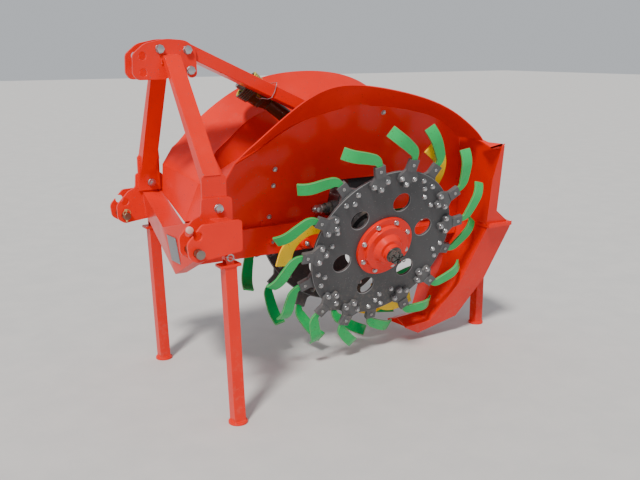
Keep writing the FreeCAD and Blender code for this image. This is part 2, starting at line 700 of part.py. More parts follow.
def make_post():
    """Tapered box post that leans in from the ear to the top plate, on a bolted foot plate."""
    foot_out = HITCH_OUTER_Y - 2 * HITCH_PLATE_T - HITCH_GAP
    foot_in = foot_out - 10.0
    top_in = BRACE_W / 2.0 + TOP_PLATE_T
    top_out = top_in + POST_T_TOP
    low = Vector(0, foot_out, POST_FOOT_TOP)
    high = Vector(0, top_out, POST_TOP)
    along = unit(high - low)
    inward = Vector(0, -along.z, along.y)
    low_in = low + inward * POST_T_BOTTOM
    high_in = high + inward * POST_T_TOP
    slope = (high_in.z - low_in.z) / (high_in.y - low_in.y)
    ring_yz = [
        (low.y, low.z), (high.y, high.z), (top_in, high.z),
        (top_in, high_in.z + slope * (top_in - high_in.y)),
        (foot_in, low_in.z + slope * (foot_in - low_in.y)), (foot_in, low.z),
    ]
    ring = [Vector(FEET_X + 74.5 + POST_LEAN * (z - POST_FOOT_TOP), y, z) for y, z in ring_yz]
    tube = Part.Face(Part.makePolygon(ring + [ring[0]])).extrude(Vector(-POST_W, 0, 0))
    foot = plate_xz(
        [
            (FEET_X, CROSS_TOP_END + 4, 0), (FEET_X + 82, CROSS_TOP_END + 4, 0),
            (FEET_X + 82, POST_FOOT_TOP - 6, 0), (FEET_X + 74.5, POST_FOOT_TOP, 0),
            (FEET_X + 8, POST_FOOT_TOP, 0), (FEET_X, POST_FOOT_TOP - 8, 0),
        ],
        foot_in, foot_out,
    )
    fin_low = Vector(FEET_X + 20, foot_in + 2, POST_FOOT_TOP + 3)
    fin_rear = Vector(FEET_X + 1, foot_in + 2, POST_FOOT_TOP - 12)
    fin_high = Vector(FEET_X + 24, foot_in - 45, POST_FOOT_TOP + 74)
    fin = Part.Face(Part.makePolygon([fin_low, fin_rear, fin_high, fin_low]))
    fin = fin.extrude(Vector(0, -8, -5))
    return fused([tube, foot, fin])


def make_top_plates():
    """Pair of plates on the brace's front end; columns: x, height over the brace's end, corner radius."""
    t = BRACE_W / 2.0
    rows = [
        (86, -121, 12), (178, -121, 20), (192, -101, 18), (190, -41, 24), (150, -8, 60), (80, 7, 150),
        (10, 2, 60), (-23, -23, 24), (-25, -111, 16), (-4, -119, 12), (24, -89, 20),
    ]
    outline = [(FEET_X + x, BRACE_FRONT_TOP + z, r) for x, z, r in rows]
    plates = []
    for y0 in (t, -t - TOP_PLATE_T):
        plate = plate_xz(outline, y0, y0 + TOP_PLATE_T)
        holes = [
            rod(Vector(x, y0 - 5, z), Vector(0, 1, 0), TOP_HOLE_R, 30)
            for x, z in (TOP_HOLE_UPPER, TOP_HOLE_LOWER)
        ]
        plates.append(plate.cut(holes))
    return Part.Compound(plates)


def make_brace():
    start = Vector(BRACE_FRONT_X, 0, brace_line(BRACE_FRONT_X))
    end = Vector(BRACE_REAR_X - 60, 0, brace_line(BRACE_REAR_X - 60))
    outer = beam(start, end, BRACE_W / 2, BRACE_D / 2)
    hollow = beam(start, end, BRACE_W / 2 - BRACE_WALL, BRACE_D / 2 - BRACE_WALL)
    tube = outer.cut(hollow)
    return tube.cut(box(-2000, BRACE_REAR_X, -200, 200, 0, 2000))


def between_hoods(shape):
    """Keep what lies between the two hood plates."""
    for side in (1, -1):
        slab = on_rotor(box(-900, 900, -HOOD_OFFSET - HOOD_T, 900, -900, 900))
        if side < 0:
            slab = mirrored(slab)
        shape = shape.cut(slab)
    return shape


def make_hood_tie():
    z = brace_line(BRACE_REAR_X)
    bar = box(BRACE_REAR_X - TIE_DEPTH, BRACE_REAR_X, -300, 300, z - TIE_HALF_H, z + TIE_HALF_H)
    return between_hoods(bar)


def make_centre_beam(cross_beam):
    """Box beam from the cross beam's rear face to the gearbox."""
    bar = box(ROTOR_X + GEARBOX_HALF_X, FEET_X + 50, -BEAM_HALF_W, BEAM_HALF_W, BEAM_BOTTOM, BEAM_TOP)
    return min(bar.cut(cross_beam).Solids, key=lambda s: s.CenterOfMass.x)


def bent_sheet(rim, thickness, depth):
    """Sheet bent along a rim line given as (forward, up) points, square to the disc, from its face inboard."""
    outside = []
    for i in range(len(rim)):
        here = Vector(rim[i][0], rim[i][1], 0)
        before = Vector(rim[max(i - 1, 0)][0], rim[max(i - 1, 0)][1], 0)
        after = Vector(rim[min(i + 1, len(rim) - 1)][0], rim[min(i + 1, len(rim) - 1)][1], 0)
        into = unit(here - before) if i > 0 else unit(after - here)
        out_of = unit(after - here) if i < len(rim) - 1 else into
        side = Vector(0, 0, 1).cross(unit(into + out_of))
        if side.dot(here) < 0:
            side = side * -1.0
        reach = thickness / math.cos(into.getAngle(out_of) / 2.0)
        outside.append((here.x + side.x * reach, here.y + side.y * reach))
    return on_rotor(plate_xz(list(rim) + outside[::-1], -depth, 0))


def make_shroud():
    """Sheet bent round behind the knives, from the wheel's plane inboard past the middle."""
    rim = [(-490, 90), (-511, -2), (-456, -239), (-345, -421), (-225, -428)]
    return bent_sheet(rim, SHEET_T, 330.0)


def make_shoe():
    """Ditch shoe behind the wheel: outer wall strip in the wheel's plane and the shroud behind the knives."""
    wall = [
        (-638, 60), (-638, -9), (-586, -247), (-488, -425), (-300, -475), (-222, -432),
        (-345, -424), (-459, -240), (-514, 0), (-500, 60),
    ]
    strip = on_rotor(plate_xz(wall, -SHEET_T, 0))
    shoe = fused([strip, make_shroud()])
    shoe = shoe.cut(box(-2000, 2000, -900, SEAT_GAP / 2, 0, 2000))
    return shoe.cut(box(-2000, 2000, -900, 900, JOINT_Z, 2000))


def make_deflector(hood):
    """Upper rear wall between the joint flange and the hood."""
    top_rear = (-466, 376)
    wall = [(-640, -40), (-606, 30), (-536, 80), top_rear, (-400, 366), (-436, 228), (-508, 0), (-516, -40)]
    strip = on_rotor(plate_xz(wall, -SHEET_T, 0))
    flange = Part.Face(Part.makePolygon([
        Vector(-404, 0, 358), Vector(top_rear[0], 0, top_rear[1] - SHEET_T),
        Vector(-404, -TOP_FLANGE_L, 358), Vector(-404, 0, 358),
    ])).extrude(Vector(0, 0, SHEET_T))
    body = fused([strip, bent_sheet(DEFLECTOR_RIM, SHEET_T, HOOD_OFFSET), on_rotor(flange)])
    body = body.cut([hood, box(-2000, 2000, -900, 900, 0, JOINT_Z + JOINT_T)])
    return max(body.Solids, key=lambda s: s.Volume)


def make_rear_bridge():
    """Joint flange between deflector and shoe, with the lug for the rear stand."""
    x_front = ROTOR_X - 505
    rear = STAND_REAR_X - STAND_LUG_R - 1.0
    plate = plate_xy(
        [
            (x_front, 228, 6), (x_front - 128, 222, 10), (rear, 60, 20),
            (rear, -60, 20), (x_front - 128, -222, 10), (x_front, -228, 6),
        ],
        JOINT_Z, JOINT_Z + JOINT_T,
    )
    lug = stand_lug(STAND_REAR_X, 0.0, STAND_REAR_PIN_Z, JOINT_Z)
    hole = rod(Vector(STAND_REAR_X, -20, STAND_REAR_PIN_Z), Vector(0, 1, 0), STAND_PIN_R + SHAFT_CLEARANCE, 40)
    return fused([plate, lug]).cut(hole)


def make_rear_beam():
    """Box beam from the gearbox to the shoe's shroud, under the joint flange."""
    bar = box(ROTOR_X - 620, ROTOR_X - GEARBOX_HALF_X, -REAR_BEAM_HALF_W, REAR_BEAM_HALF_W, REAR_BEAM_BOTTOM, JOINT_Z)
    shroud = make_shroud()
    return max(bar.cut([shroud, mirrored(shroud)]).Solids, key=lambda s: s.CenterOfMass.x)


def make_spine():
    """Upright web behind the shoe, under the joint flange."""
    web = plate_xz(
        [
            (ROTOR_X - 480, JOINT_Z, 0), (STAND_REAR_X + 40, JOINT_Z, 0), (STAND_REAR_X + 40, JOINT_Z - 40, 0),
            (ROTOR_X - 540, 240, 30), (ROTOR_X - 430, 96, 10), (ROTOR_X - 300, 96, 0), (ROTOR_X - 330, 260, 0),
        ],
        -SPINE_T / 2, SPINE_T / 2,
    )
    shroud = make_shroud()
    return min(web.cut([shroud, mirrored(shroud)]).Solids, key=lambda s: s.CenterOfMass.x)


def make_stand(x, y, pin_z, lean):
    """Square leg with a foot disc, head flange and the two cheeks that straddle the lug."""
    flange_top = pin_z - STAND_NECK
    fx, fy, ft = STAND_FLANGE
    inner = STAND_LUG_T / 2 + SEAT_GAP
    outer = inner + STAND_CHEEK_T
    r = STAND_CHEEK_R
    cheek_outline = [(-r, -STAND_NECK - 2, 0), (r, -STAND_NECK - 2, 0), (r, r, r - 0.1), (-r, r, r - 0.1)]
    cheeks = [plate_xz(cheek_outline, a, b) for a, b in ((inner, outer), (-outer, -inner))]
    pin_half = outer + 4.0
    pin = rod(Vector(0, -pin_half, 0), Vector(0, 1, 0), STAND_PIN_R, 2 * pin_half)
    flange = box(-fx / 2, fx / 2, -fy / 2, fy / 2, -STAND_NECK - ft, -STAND_NECK)
    length = flange_top - GROUND_Z
    tube = box(-LEG_W / 2, LEG_W / 2, -LEG_W / 2, LEG_W / 2, -pin_z - 40, -STAND_NECK - ft)
    w = LEG_W / 2 - LEG_WALL
    bore = box(-w, w, -w, w, -length - 200, -STAND_NECK - ft - LEG_WALL)
    leg = fused([flange, tube, pin] + cheeks).cut(bore)
    leg.rotate(Vector(0, 0, 0), Vector(0, 1, 0), lean)
    leg.translate(Vector(x, y, pin_z))
    leg = leg.cut(box(-3000, 3000, -900, 900, -500, GROUND_Z + FOOT_T / 2))
    foot_x = x - math.tan(math.radians(lean)) * pin_z
    foot = rod(Vector(foot_x, y, GROUND_Z), Vector(0, 0, 1), FOOT_R, FOOT_T)
    return fused([leg, foot])


def make_drive_shaft():
    """Guarded drive shaft, tied up beside the brace: guard, front yoke and rear yoke."""
    front = Vector(*SHAFT_FRONT)
    joint_x = ROTOR_X + TOWER_HALF + SHAFT_REAR_GAP
    rear = Vector(joint_x, -8, INPUT_Z + 10)
    along = unit(rear - front)
    length = (rear - front).Length
    bell = Part.makeCone(BELL_MOUTH_R, BELL_THROAT_R, BELL_L, front, along)
    bell_in = Part.makeCone(BELL_MOUTH_R - BELL_WALL, BELL_THROAT_R - BELL_WALL, BELL_L - 3, front - along, along)
    collar = Part.makeCone(BELL_THROAT_R, SHAFT_TUBE_R + 1, 32, front + along * BELL_L, along)
    tube = rod(front + along * (BELL_L + 16), along, SHAFT_TUBE_R, length - BELL_L - 90)
    tail_start = length - 88
    tail = Part.makeCone(SHAFT_TUBE_R + 1, BELL_THROAT_R, 46, front + along * tail_start, along)
    tail_in = Part.makeCone(
        SHAFT_TUBE_R + 1 - BELL_WALL, BELL_THROAT_R - BELL_WALL, 48, front + along * (tail_start + 1), along,
    )
    core_bore = rod(front - along * 20, along, SHAFT_CORE_R + SHAFT_CORE_GAP, length + 40)
    guard = fused([bell, collar, tube, tail]).cut([bell_in, tail_in, core_bore])
    shaft = rod(front + along * 36, along, SHAFT_CORE_R, length - 42)
    hub = rod(front - along * 24, along, YOKE_HUB_R, YOKE_HUB_L)
    bore = rod(front - along * 30, along, YOKE_BORE_R, YOKE_HUB_L + 6)
    fork = rod(front + along * (YOKE_HUB_L - 24), along, YOKE_HUB_R + 7, 20)
    yoke = fused([hub.cut(bore), fork, shaft])
    socket_x = ROTOR_X + TOWER_HALF + INPUT_BOSS_L + 2
    socket = rod(Vector(socket_x, 0, INPUT_Z), Vector(1, 0, 0), COUPLER_R, joint_x - socket_x - 4)
    cross = Part.makeSphere(CROSS_R, Vector(joint_x, -4, INPUT_Z + 5))
    stub = rod(Vector(ROTOR_X, 0, INPUT_Z), Vector(1, 0, 0), INPUT_R, TOWER_HALF + INPUT_STUB_L)
    coupler = fused([socket, cross]).cut(stub)
    return guard, yoke, coupler.cut(yoke)


def main():
    os.makedirs("parts", exist_ok=True)
    wheel = make_wheel()
    for side, raised in (("left", False), ("right", True)):
        hood = make_hood(raised)
        deflector = make_deflector(hood)
        export("hood_" + side, mirrored(hood) if raised else hood)
        export("deflector_" + side, mirrored(deflector) if raised else deflector)
    left = {
        "hitch_clevis": make_clevis(),
        "hitch_pin": make_hitch_pin(),
        "post": make_post(),
        "axle_housing": make_housing(),
        "shoe": make_shoe(),
        "stand_front": make_stand(STAND_FRONT_X, LEG_Y, STAND_FRONT_PIN_Z, LEG_LEAN),
    }
    gearbox = make_gearbox()
    left["axle_housing"] = max(left["axle_housing"].cut(gearbox).Solids, key=lambda s: s.Volume)
    for name, shape in left.items():
        export(name + "_left", shape)
        export(name + "_right", mirrored(shape))
    for name, shape in wheel.items():
        export("wheel_" + name + "_left", on_rotor(shape))
        export("wheel_" + name + "_right", mirrored(on_rotor(around(shape, WHEEL_PHASE))))
    guard, yoke, coupler = make_drive_shaft()
    cross_beam = make_cross_beam()
    single = {
        "cross_beam": cross_beam,
        "top_link_plates": make_top_plates(),
        "brace": make_brace(),
        "hood_tie": make_hood_tie(),
        "centre_beam": make_centre_beam(cross_beam),
        "gearbox": gearbox,
        "rear_bridge": make_rear_bridge(),
        "rear_beam": make_rear_beam(),
        "rear_spine": make_spine(),
        "stand_rear": make_stand(STAND_REAR_X, 0.0, STAND_REAR_PIN_Z, 0.0),
        "drive_shaft_guard": guard,
        "drive_shaft_yoke": yoke,
        "drive_shaft_coupler": coupler,
    }
    for name, shape in single.items():
        export(name, shape)


main()
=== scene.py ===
"""Looks of a double wheel rotary ditcher, parked on its three legs.

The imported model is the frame. Its nodes are re-made here with rounded edges and smooth faces, and the bolts,
welds, clips, plates and wear that a ditcher shows are added to them. Metres, +X forward to the tractor, +Y to
the left, +Z up. The left side is modelled, and the right side is its mirror image.
"""

import json
import logging
import math
from dataclasses import dataclass, field
from enum import Enum
from typing import Iterable, Sequence

import bmesh
import bpy
from mathutils import Matrix, Vector

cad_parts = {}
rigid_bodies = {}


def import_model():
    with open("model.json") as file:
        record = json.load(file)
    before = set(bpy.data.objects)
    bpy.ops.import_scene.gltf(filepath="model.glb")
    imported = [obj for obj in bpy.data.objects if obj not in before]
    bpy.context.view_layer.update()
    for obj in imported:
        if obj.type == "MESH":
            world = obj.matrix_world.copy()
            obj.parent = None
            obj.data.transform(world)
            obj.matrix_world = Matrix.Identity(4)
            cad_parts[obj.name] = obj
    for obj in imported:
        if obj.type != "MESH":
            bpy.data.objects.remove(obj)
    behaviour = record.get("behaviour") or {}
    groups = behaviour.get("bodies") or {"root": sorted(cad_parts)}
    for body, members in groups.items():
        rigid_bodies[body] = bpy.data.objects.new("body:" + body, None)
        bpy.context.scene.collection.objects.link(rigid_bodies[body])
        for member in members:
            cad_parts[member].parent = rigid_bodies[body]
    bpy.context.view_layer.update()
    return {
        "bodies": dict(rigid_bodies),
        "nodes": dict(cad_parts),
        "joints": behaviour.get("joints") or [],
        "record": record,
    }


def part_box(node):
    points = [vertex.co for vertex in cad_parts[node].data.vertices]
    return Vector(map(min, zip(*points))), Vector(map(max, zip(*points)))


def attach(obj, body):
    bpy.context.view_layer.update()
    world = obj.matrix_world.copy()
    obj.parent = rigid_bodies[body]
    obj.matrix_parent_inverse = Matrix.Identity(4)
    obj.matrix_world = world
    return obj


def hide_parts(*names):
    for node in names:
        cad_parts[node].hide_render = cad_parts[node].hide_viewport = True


LOG = logging.getLogger("ditcher")

Colour = tuple[float, float, float]
Point = tuple[float, float, float]
Pair = tuple[float, float]
Step = tuple[float, float, float, int]
Finish = tuple[bpy.types.Material, str]

ALONG = Vector((1.0, 0.0, 0.0))
OUT = Vector((0.0, 1.0, 0.0))
UP = Vector((0.0, 0.0, 1.0))
MIRROR = Matrix.Diagonal((1.0, -1.0, 1.0, 1.0))
SQUARE = ((1, 1), (-1, 1), (-1, -1), (1, -1))

MERGE_WITHIN = 2e-5
FLAT_WITHIN = math.radians(0.6)
SMOOTH_WITHIN = math.radians(32.0)


class Side(Enum):
    """Side of the machine, with the sign of its Y axis."""

    LEFT = 1
    RIGHT = -1

    @property
    def word(self) -> str:
        """Name of the side as the nodes spell it."""
        return self.name.lower()


class Sock:
    """A socket of a material's nodes, with the arithmetic that the finishes use."""

    def __init__(self, bench: "Bench", socket: bpy.types.NodeSocket) -> None:
        """Wrap a socket.

        Args:
            bench: The material that the socket belongs to.
            socket: The output socket to wrap.
        """
        self.bench = bench
        self.socket = socket

    def maths(self, operation: str, first: "Sock | float", second: "Sock | float") -> "Sock":
        """Result of one Math node."""
        return self.bench.node("ShaderNodeMath", {"operation": operation}, {0: first, 1: second})

    def __add__(self, other: "Sock | float") -> "Sock":
        """Sum."""
        return self.maths("ADD", self, other)

    __radd__ = __add__

    def __mul__(self, other: "Sock | float") -> "Sock":
        """Product."""
        return self.maths("MULTIPLY", self, other)

    __rmul__ = __mul__

    def __sub__(self, other: "Sock | float") -> "Sock":
        """Difference."""
        return self.maths("SUBTRACT", self, other)

    def __rsub__(self, other: float) -> "Sock":
        """Difference with this value taken away."""
        return self.maths("SUBTRACT", other, self)

    def ramp(self, low: float, high: float) -> "Sock":
        """Smooth step from 0 at low to 1 at high."""
        inputs = {"Value": self, "From Min": low, "From Max": high}
        return self.bench.node("ShaderNodeMapRange", {"interpolation_type": "SMOOTHSTEP"}, inputs)


class Bench:
    """Node tree of one material."""

    def __init__(self, name: str) -> None:
        """Start an empty material.

        Args:
            name: The material's name.
        """
        self.material = bpy.data.materials.new(name)
        self.material.use_nodes = True
        self.tree = self.material.node_tree
        self.tree.nodes.clear()

    def node(
        self, kind: str, settings: dict[str, object], inputs: dict[int | str, object], output: int | str = 0,
    ) -> Sock:
        """Add a node.

        Args:
            kind: The node's type.
            settings: Its properties, which are set first.
            inputs: Values or sockets, by the input's name or number.
            output: The output that is wanted.

        Returns:
            The wanted output.
        """
        made = self.tree.nodes.new(kind)
        for key, value in settings.items():
            setattr(made, key, value)
        for key, value in inputs.items():
            if isinstance(value, Sock):
                self.tree.links.new(value.socket, made.inputs[key])
            elif isinstance(value, tuple):
                made.inputs[key].default_value = (*value, 1.0)
            else:
                made.inputs[key].default_value = value
        return Sock(self, made.outputs[output])

    def place(self) -> Sock:
        """Object coordinates."""
        return self.node("ShaderNodeTexCoord", {}, {}, "Object")

    def noise(self, scale: float, detail: float = 3.0, rough: float = 0.5) -> Sock:
        """Noise value on Object coordinates."""
        inputs = {"Vector": self.place(), "Scale": scale, "Detail": detail, "Roughness": rough}
        return self.node("ShaderNodeTexNoise", {}, inputs)

    def mix(self, mask: Sock, under: Sock | Colour, over: Sock | Colour) -> Sock:
        """Colour mix: over where the mask is 1."""
        return self.node("ShaderNodeMix", {"data_type": "RGBA"}, {"Factor": mask, 6: under, 7: over}, 2)

    def height(self) -> Sock:
        """Height over the ground."""
        return self.node("ShaderNodeSeparateXYZ", {}, {0: self.place()}, "Z")

    def facing_up(self) -> Sock:
        """1 on faces that look up, 0 on walls and undersides."""
        normal = self.node("ShaderNodeNewGeometry", {}, {}, "Normal")
        return self.node("ShaderNodeSeparateXYZ", {}, {0: normal}, "Z").ramp(0.2, 0.95)

    def finish(self, bump: Sock, depth: float, **inputs: object) -> bpy.types.Material:
        """Close the material.

        Args:
            bump: Height of the surface's relief.
            depth: Depth of that relief in metres.
            **inputs: Principled inputs, with underscores for spaces.

        Returns:
            The finished material.
        """
        values = {key.replace("_", " "): value for key, value in inputs.items()}
        relief = {"Height": bump, "Distance": depth, "Strength": 1.0}
        values["Normal"] = self.node("ShaderNodeBump", {}, relief)
        shader = self.node("ShaderNodeBsdfPrincipled", {}, values)
        out = self.tree.nodes.new("ShaderNodeOutputMaterial")
        self.tree.links.new(shader.socket, out.inputs["Surface"])
        return self.material


@dataclass(frozen=True)
class Paint:
    """Sprayed gloss paint with dust on its upper faces, soil near the ground and small chips."""

    name: str
    slot: str
    colour: Colour
    deep: Colour
    chip: Colour = (0.16, 0.13, 0.11)
    roughness: float = 0.30
    coat: float = 0.35
    coat_roughness: float = 0.08
    sheen: float = 0.32
    chips: float = 0.0
    dust: float = 0.25
    soil: float = 0.0
    dust_colour: Colour = (0.42, 0.34, 0.26)
    cloud_scale: float = 3.0
    dust_scale: float = 26.0
    soil_scale: float = 60.0
    soil_heights: Pair = (0.05, 0.45)
    chip_scale: float = 210.0
    peel_scale: float = 900.0
    wave_scale: float = 40.0
    relief: float = 0.00012

    def build(self) -> bpy.types.Material:
        """Make the material."""
        bench = Bench(self.name)
        colour = bench.mix(bench.noise(self.cloud_scale, 4.0).ramp(0.35, 0.75), self.colour, self.deep)
        film = bench.noise(self.dust_scale, 5.0, 0.6).ramp(0.45, 0.8) * bench.facing_up() * self.dust
        colour = bench.mix(film, colour, self.dust_colour)
        low = 1.0 - bench.height().ramp(*self.soil_heights)
        mud = bench.noise(self.soil_scale, 6.0, 0.7).ramp(0.5, 0.62) * low * self.soil
        colour = bench.mix(mud, colour, self.dust_colour)
        spared = 0.07 * self.chips
        spots = bench.noise(self.chip_scale, 2.0, 0.4).ramp(0.735 - spared, 0.75 - spared)
        spots = spots * (1.0 if self.chips else 0.0)
        colour = bench.mix(spots, colour, self.chip)
        rough = bench.noise(9.0, 3.0).ramp(0.2, 0.8) * 0.10 + self.roughness + film * 0.5 + mud * 0.5
        peel = bench.noise(self.peel_scale, 1.0) * 0.25 + bench.noise(self.wave_scale, 2.0)
        return bench.finish(
            peel - spots * 1.5, self.relief, Base_Color=colour, Roughness=rough, Coat_Weight=self.coat,
            Coat_Roughness=self.coat_roughness, Specular_IOR_Level=self.sheen,
        )


@dataclass(frozen=True)
class Metal:
    """Bare or plated metal with stains and a fine grain."""

    name: str
    slot: str
    colour: Colour
    stain: Colour
    roughness: float
    stained: float
    stain_scale: float = 70.0
    grain_scale: float = 500.0
    relief: float = 0.0001

    def build(self) -> bpy.types.Material:
        """Make the material."""
        bench = Bench(self.name)
        patch = bench.noise(self.stain_scale, 5.0, 0.65)
        patch = patch.ramp(0.62 - 0.3 * self.stained, 0.8 - 0.2 * self.stained)
        return bench.finish(
            bench.noise(self.grain_scale, 3.0) + patch * 0.8, self.relief,
            Base_Color=bench.mix(patch, self.colour, self.stain), Roughness=patch * 0.35 + self.roughness,
            Metallic=1.0 - patch * 0.8,
        )


@dataclass(frozen=True)
class Plastic:
    """Moulded plastic or greasy forging: grime in patches, painted shade underneath, darker below a height."""

    name: str
    slot: str
    colour: Colour
    # Colour of the grime patches, also used for the painted shade on undersides.
    grime: Colour
    roughness: float
    grimy: float
    # Weight of the painted shade laid on faces that don't look up.
    under: float = 0.0
    low: float = 0.0
    low_heights: Pair = (0.96, 1.04)
    grime_scale: float = 28.0
    grain_scale: float = 160.0
    relief: float = 0.0004

    def build(self) -> bpy.types.Material:
        """Make the material."""
        bench = Bench(self.name)
        patch = bench.noise(self.grime_scale, 6.0, 0.7)
        # Painted shade: faces that don't look up are darkened towards the grime colour.
        if self.under > 0.0:
            patch = patch + (1.0 - bench.facing_up()) * self.under
        if self.low > 0.0:
            patch = patch + (1.0 - bench.height().ramp(*self.low_heights)) * self.low
        patch = patch.ramp(0.6 - 0.25 * self.grimy, 0.72 - 0.1 * self.grimy)
        return bench.finish(
            bench.noise(self.grain_scale, 3.0) + patch, self.relief,
            Base_Color=bench.mix(patch, self.colour, self.grime), Roughness=patch * -0.15 + self.roughness,
        )


class Finishes:
    """Every finish of the machine, made once."""

    def __init__(self) -> None:
        """Make the materials."""
        self.paint = self._add(Paint(
            "red_paint", "paint", (0.82, 0.012, 0.001), (0.66, 0.008, 0.001), chips=0.3, dust=0.07, soil=0.10,
            roughness=0.27, coat=0.15, sheen=0.25,
        ))
        self.disc = self._add(Paint(
            "grey_paint", "disc_paint", (0.070, 0.070, 0.074), (0.054, 0.055, 0.060), (0.17, 0.165, 0.16),
            roughness=0.44, coat=0.05, chips=0.42, soil=0.25,
        ))
        self.holder = self._add(Paint(
            "grey_holder", "disc_paint", (0.105, 0.105, 0.110), (0.082, 0.083, 0.088), (0.21, 0.20, 0.19),
            roughness=0.42, coat=0.05, chips=0.5, dust=0.2, soil=0.25,
        ))
        # Lighter grey on the rounded edges of disc and knife holders: partly worn paint, partly painted
        # highlight where the edges catch the light.
        self.disc_edge = self._add(Paint(
            "grey_edge", "disc_paint", (0.21, 0.21, 0.215), (0.14, 0.145, 0.15), (0.34, 0.33, 0.32),
            roughness=0.45, coat=0.0, chips=0.6, dust=0.2, soil=0.3,
        ))
        self.knife = self._add(Paint(
            "green_paint", "knife_paint", (0.000, 0.46, 0.105), (0.000, 0.34, 0.070), (0.16, 0.07, 0.025),
            roughness=0.24, coat=0.2, chips=0.55, dust=0.03, soil=0.05, sheen=0.25,
        ))
        self.paddle = self._add(Paint(
            "yellow_paint", "paddle_paint", (1.0, 0.62, 0.0), (0.95, 0.48, 0.0), (0.2, 0.10, 0.03),
            roughness=0.33, coat=0.1, chips=0.62, dust=0.05, soil=0.10, sheen=0.25,
        ))
        self.knife_edge = self._add(Paint(
            "green_edge", "knife_paint", (0.20, 0.40, 0.17), (0.11, 0.30, 0.10), (0.36, 0.24, 0.11),
            roughness=0.38, coat=0.0, chips=1.6, dust=0.1, soil=0.1,
        ))
        self.paddle_edge = self._add(Paint(
            "yellow_edge", "paddle_paint", (0.90, 0.48, 0.01), (0.60, 0.28, 0.01), (0.24, 0.11, 0.04),
            roughness=0.42, coat=0.0, chips=1.1, dust=0.15, soil=0.2,
        ))
        self.casting = self._add(Paint(
            "black_paint", "gearbox_paint", (0.020, 0.020, 0.022), (0.012, 0.012, 0.014), (0.09, 0.08, 0.07),
            roughness=0.4, coat=0.1, chips=0.5, dust=0.35, soil=0.3,
        ))
        self.zinc = self._add(Metal("zinc", "pin_steel", (0.50, 0.50, 0.51), (0.32, 0.30, 0.27), 0.30, 0.2))
        self.worn_zinc = self._add(Metal(
            "worn_zinc", "pin_steel", (0.46, 0.46, 0.46), (0.26, 0.24, 0.22), 0.4, 0.3,
        ))
        self.brass = self._add(Metal(
            "yellow_zinc", "pin_steel", (0.72, 0.52, 0.22), (0.35, 0.25, 0.12), 0.3, 0.3,
        ))
        self.steel = self._add(Metal(
            "dull_steel", "pin_steel", (0.26, 0.17, 0.12), (0.14, 0.08, 0.05), 0.4, 0.5,
        ))
        self.pin_end = self._add(Metal(
            "pin_end", "pin_steel", (0.30, 0.25, 0.22), (0.20, 0.14, 0.11), 0.45, 0.5,
        ))
        self.dark_steel = self._add(Metal(
            "dark_steel", "yoke_steel", (0.16, 0.15, 0.14), (0.05, 0.04, 0.03), 0.4, 0.6,
        ))
        self.sign = self._add(Metal(
            "blank_plate", "pin_steel", (0.34, 0.35, 0.37), (0.25, 0.25, 0.26), 0.45, 0.2,
        ))
        # Pale pink for the hitch collar: painted highlight that stands in for its sunlit end face.
        self.primer = self._add(Paint(
            "overspray", "paint", (0.74, 0.46, 0.40), (0.68, 0.36, 0.30), roughness=0.4, coat=0.0, dust=0.1,
        ))
        self.forging = self._add(Plastic(
            "greasy_forging", "yoke_steel", (0.080, 0.076, 0.070), (0.018, 0.016, 0.014), 0.26, 0.5,
        ))
        # Yellow stays only on upward faces; under=0.26 lays painted shade on the other faces.
        self.guard = self._add(Plastic(
            "guard_plastic", "guard_plastic", (0.60, 0.52, 0.050), (0.050, 0.026, 0.010), 0.42, 0.40,
            under=0.26, low=0.30,
        ))

    @staticmethod
    def _add(finish: Paint | Metal | Plastic) -> Finish:
        """Material of a finish, with the record's slot that it belongs to."""
        return finish.build(), finish.slot


def standing(place: Vector, axis: Vector, spin: float = 0.0) -> Matrix:
    """Matrix that puts a pattern standing along Z at a place, along an axis, turned by a spin."""
    turn = axis.to_track_quat("Z", "Y").to_matrix().to_4x4()
    return Matrix.Translation(place) @ turn @ Matrix.Rotation(spin, 4, "Z")


